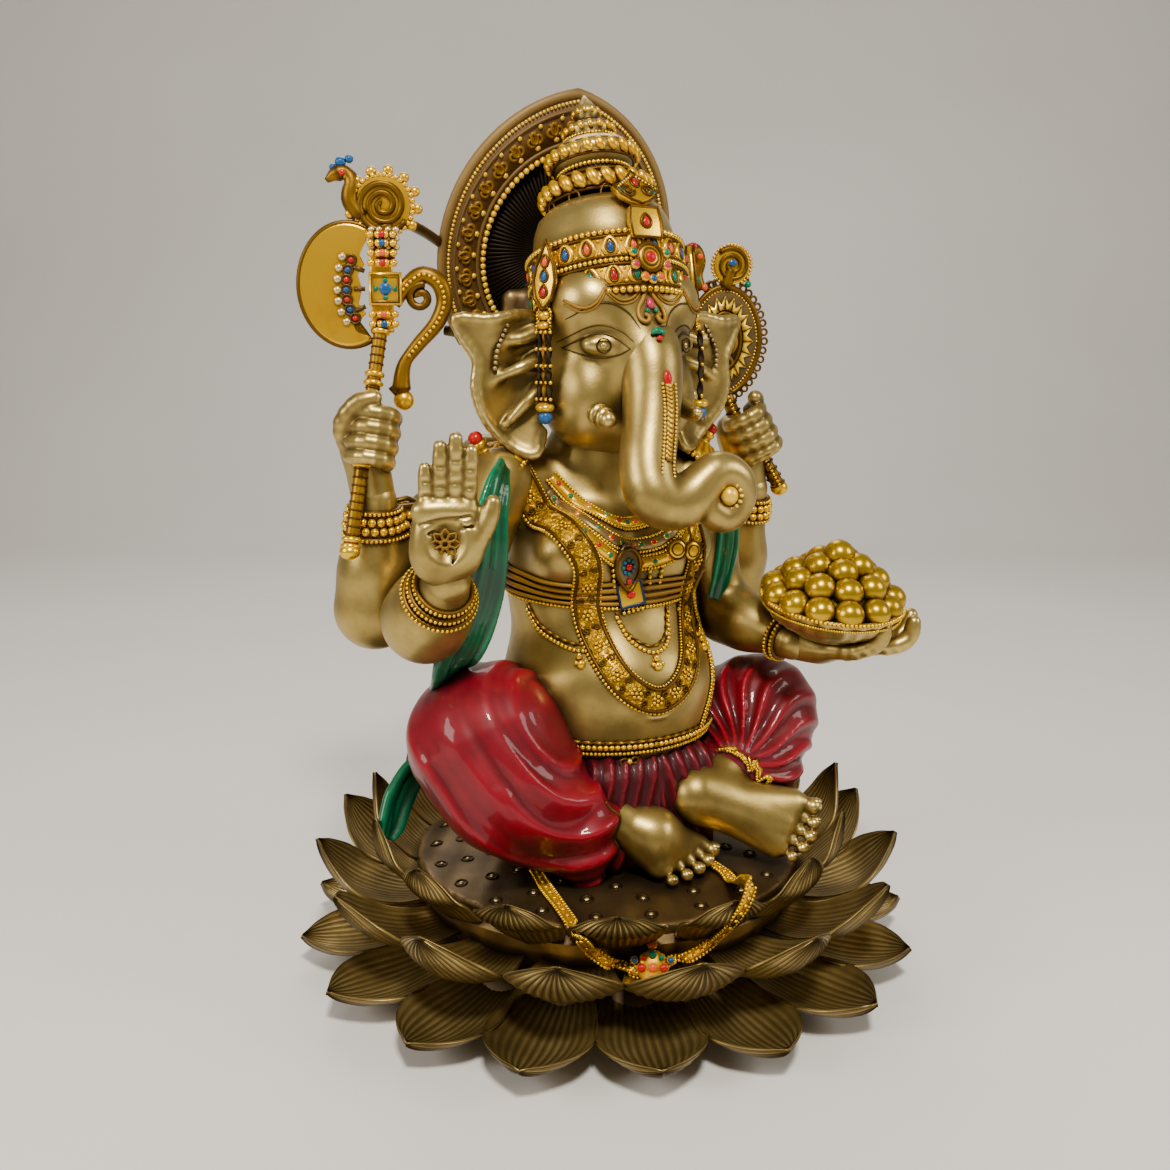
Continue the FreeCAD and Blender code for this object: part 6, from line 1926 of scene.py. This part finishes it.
def seat_chains(stones):
    tree = tree_of("lotus_seat", "lotus_petals_upper", "lotus_petals_middle", "right_leg")
    gold = Heap()
    down = unit(VIEW * -1 + vec(0, 0, -0.55))
    left = [vec(-52, -30, 56), vec(-55, -52, 55), vec(-56, -72, 52), vec(-53, -88, 46), vec(-46, -100, 42),
            vec(-38, -107, 42)]
    right = [vec(22, -56, 56), vec(24, -70, 54), vec(20, -82, 50), vec(6, -94, 46), vec(-12, -104, 44),
            vec(-32, -108, 42)]
    for pts in (left, right):
        line, normal = draped(tree, pts, down, 90, 1.0)
        smooth = line.copy()
        for _ in range(6):
            smooth[1:-1] = 0.25 * smooth[:-2] + 0.5 * smooth[1:-1] + 0.25 * smooth[2:]
        _, side, _ = frames(smooth, normal)
        sweep(gold, smooth, [(-2.6, -0.3), (-2.2, 0.6), (2.2, 0.6), (2.6, -0.3)], normal)
        for s in (-1, 1):
            beads(gold, smooth + side * s * 2.4 + normal * 0.6, 0.75, 1.7)
        for i in range(2, 88, 4):
            bead(gold, smooth[i] + normal[i] * 0.9, (1.0, 1.0, 0.8))
    gold.done("seat_chains", GOLD, ("right_seat_strap", "left_seat_strap"))
    pend = Heap()
    line, normal = draped(tree, [vec(-36, -109, 42), vec(-36, -109, 41)], down, 3, 1.6)
    at = line[1] + vec(0, 0, 1)
    face = unit(VIEW + vec(0, 0, 0.5))
    turn = np.array([unit(np.cross(UP, face)), np.cross(face, unit(np.cross(UP, face))), face]).T
    bead(pend, at, (6.4, 7.4, 2.4), turn, fine=True)
    for x, y, colour, r in ((0, 0, ORANGE, 1.9), (0, 5.2, GREEN, 1.7), (0, -5.2, RED, 1.9),
            (-4.6, 0, RED, 1.7), (4.6, 0, RED, 1.7),
                            (0, 9.4, ORANGE, 1.7), (-3.2, -9, RED, 1.6), (3.2, -9, ORANGE, 1.6),
                            (-3.6, 4.0, RED, 1.2), (3.6, 4.0, GREEN, 1.2),
                            (-7.5, 3, BLUE, 1.2), (7.5, 3, BLUE, 1.2)):
        q = at + turn[:, 0] * x + turn[:, 1] * y + turn[:, 2] * 1.6
        bead(pend, q - turn[:, 2] * 0.8, (r + 0.7, r + 0.7, 1.3), turn)
        stone(stones, q + turn[:, 2] * 0.6, turn, (r, r, 1.2), colour)
    pend.done("seat_pendant", GOLD, ("seat_pendant",), "jewel")


def ornament():
    stones = {}
    crown(stones)
    halo()
    face_ornament(stones)
    ear_ornament(stones)
    sash()
    chest_bands(stones)
    necklaces(stones)
    belt()
    hems()
    wrist_rings()
    cloth()
    shoulder_caps(stones)
    axe(stones)
    noose(stones)
    offering()
    seat_chains(stones)
    rosette = Heap()
    palm_rosette(rosette)
    rosette.done("palm_rosette", YELLOW)
    for name, (heap, material) in stones.items():
        heap.done("stones_" + name.split("_")[0], material, slot="jewel")


ornament()


# ------------------------------------------------------------------ CAD pieces that stay

def dress_cad():
    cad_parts["felt_pad"].data.materials.clear()
    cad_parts["felt_pad"].data.materials.append(FELT)
    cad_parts["lotus_core"].data.materials.clear()
    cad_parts["lotus_core"].data.materials.append(PATINA)


# ------------------------------------------------------------------ floor, lights, camera

LOOK = radians(27)
CAMERA_AT = (-0.2681, -0.5031, 0.290)
CAMERA_DROP = math.atan(250 / 1250)
SENSOR_WIDTH = 36.0

def stage():
    material, tree, shader = new_material("pale_floor")
    soft = noise(tree, 3.0)
    tint = ramp(tree, [(0.3, (0.70, 0.68, 0.66)), (0.7, (0.74, 0.72, 0.70))])
    link(tree, soft, "Fac", tint, "Fac")
    link(tree, tint, "Color", shader, "Base Color")
    shader.inputs["Roughness"].default_value = 0.7
    mesh = bpy.data.meshes.new("floor")
    n, depth, bend, height = 24, 1.1, 0.5, 3.0
    profile = [(-3.0, 0.0), (depth, 0.0)]
    profile += [(depth + bend * sin(a), bend * (1 - cos(a))) for a in np.linspace(0, pi / 2, n)[1:]]
    profile.append((depth + bend, height))
    verts, faces = [], []
    for across in (-4.0, 4.0):
        for along, z in profile:
            x = across * cos(LOOK) + along * sin(LOOK)
            y = -across * sin(LOOK) + along * cos(LOOK)
            verts.append((x, y, z))
    m = len(profile)
    faces = [(i, i + 1, m + i + 1, m + i) for i in range(m - 1)]
    mesh.from_pydata(verts, [], faces)
    mesh.materials.append(material)
    mesh.polygons.foreach_set("use_smooth", np.full(len(mesh.polygons), True))
    floor = bpy.data.objects.new("floor", mesh)
    bpy.context.scene.collection.objects.link(floor)
    floor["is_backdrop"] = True


def lamp(name, at, size, power, colour=(1, 1, 1)):
    light = bpy.data.lights.new(name, "AREA")
    light.energy, light.size, light.color = power, size, colour
    holder = bpy.data.objects.new(name, light)
    bpy.context.scene.collection.objects.link(holder)
    holder.location = at
    holder.rotation_euler = (Vector((0, 0, 0.2)) - Vector(at)).to_track_quat("-Z", "Y").to_euler()


def camera():
    lens = bpy.data.cameras.new("camera")
    lens.sensor_width, lens.lens = SENSOR_WIDTH, 1250 / 1170 * SENSOR_WIDTH
    lens.clip_start = 0.01
    holder = bpy.data.objects.new("camera", lens)
    bpy.context.scene.collection.objects.link(holder)
    holder.location = CAMERA_AT
    way = Vector((sin(LOOK) * cos(CAMERA_DROP), cos(LOOK) * cos(CAMERA_DROP), -sin(CAMERA_DROP)))
    holder.rotation_euler = way.to_track_quat("-Z", "Y").to_euler()
    bpy.context.scene.camera = holder


def surroundings():
    world = bpy.data.worlds.new("studio")
    world.use_nodes = True
    background = world.node_tree.nodes["Background"]
    background.inputs["Color"].default_value = (0.90, 0.84, 0.76, 1)
    background.inputs["Strength"].default_value = 0.20
    bpy.context.scene.world = world
    lamp("key", (-0.35, -0.85, 1.30), 0.22, 27, (1.0, 0.95, 0.84))
    lamp("fill", (0.95, -0.8, 0.75), 0.5, 7, (1.0, 0.95, 0.86))
    lamp("side", (-1.2, -0.1, 0.7), 0.5, 9, (1.0, 0.95, 0.86))
    lamp("back", (0.3, 0.9, 1.2), 0.8, 8, (1.0, 0.94, 0.84))


dress_cad()
stage()
camera()
surroundings()
bpy.context.view_layer.update()


def corners(box):
    return [[float(v) for v in corner] for corner in box]


{"cad": corners(CAD_BOX), "visual": corners(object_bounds())}
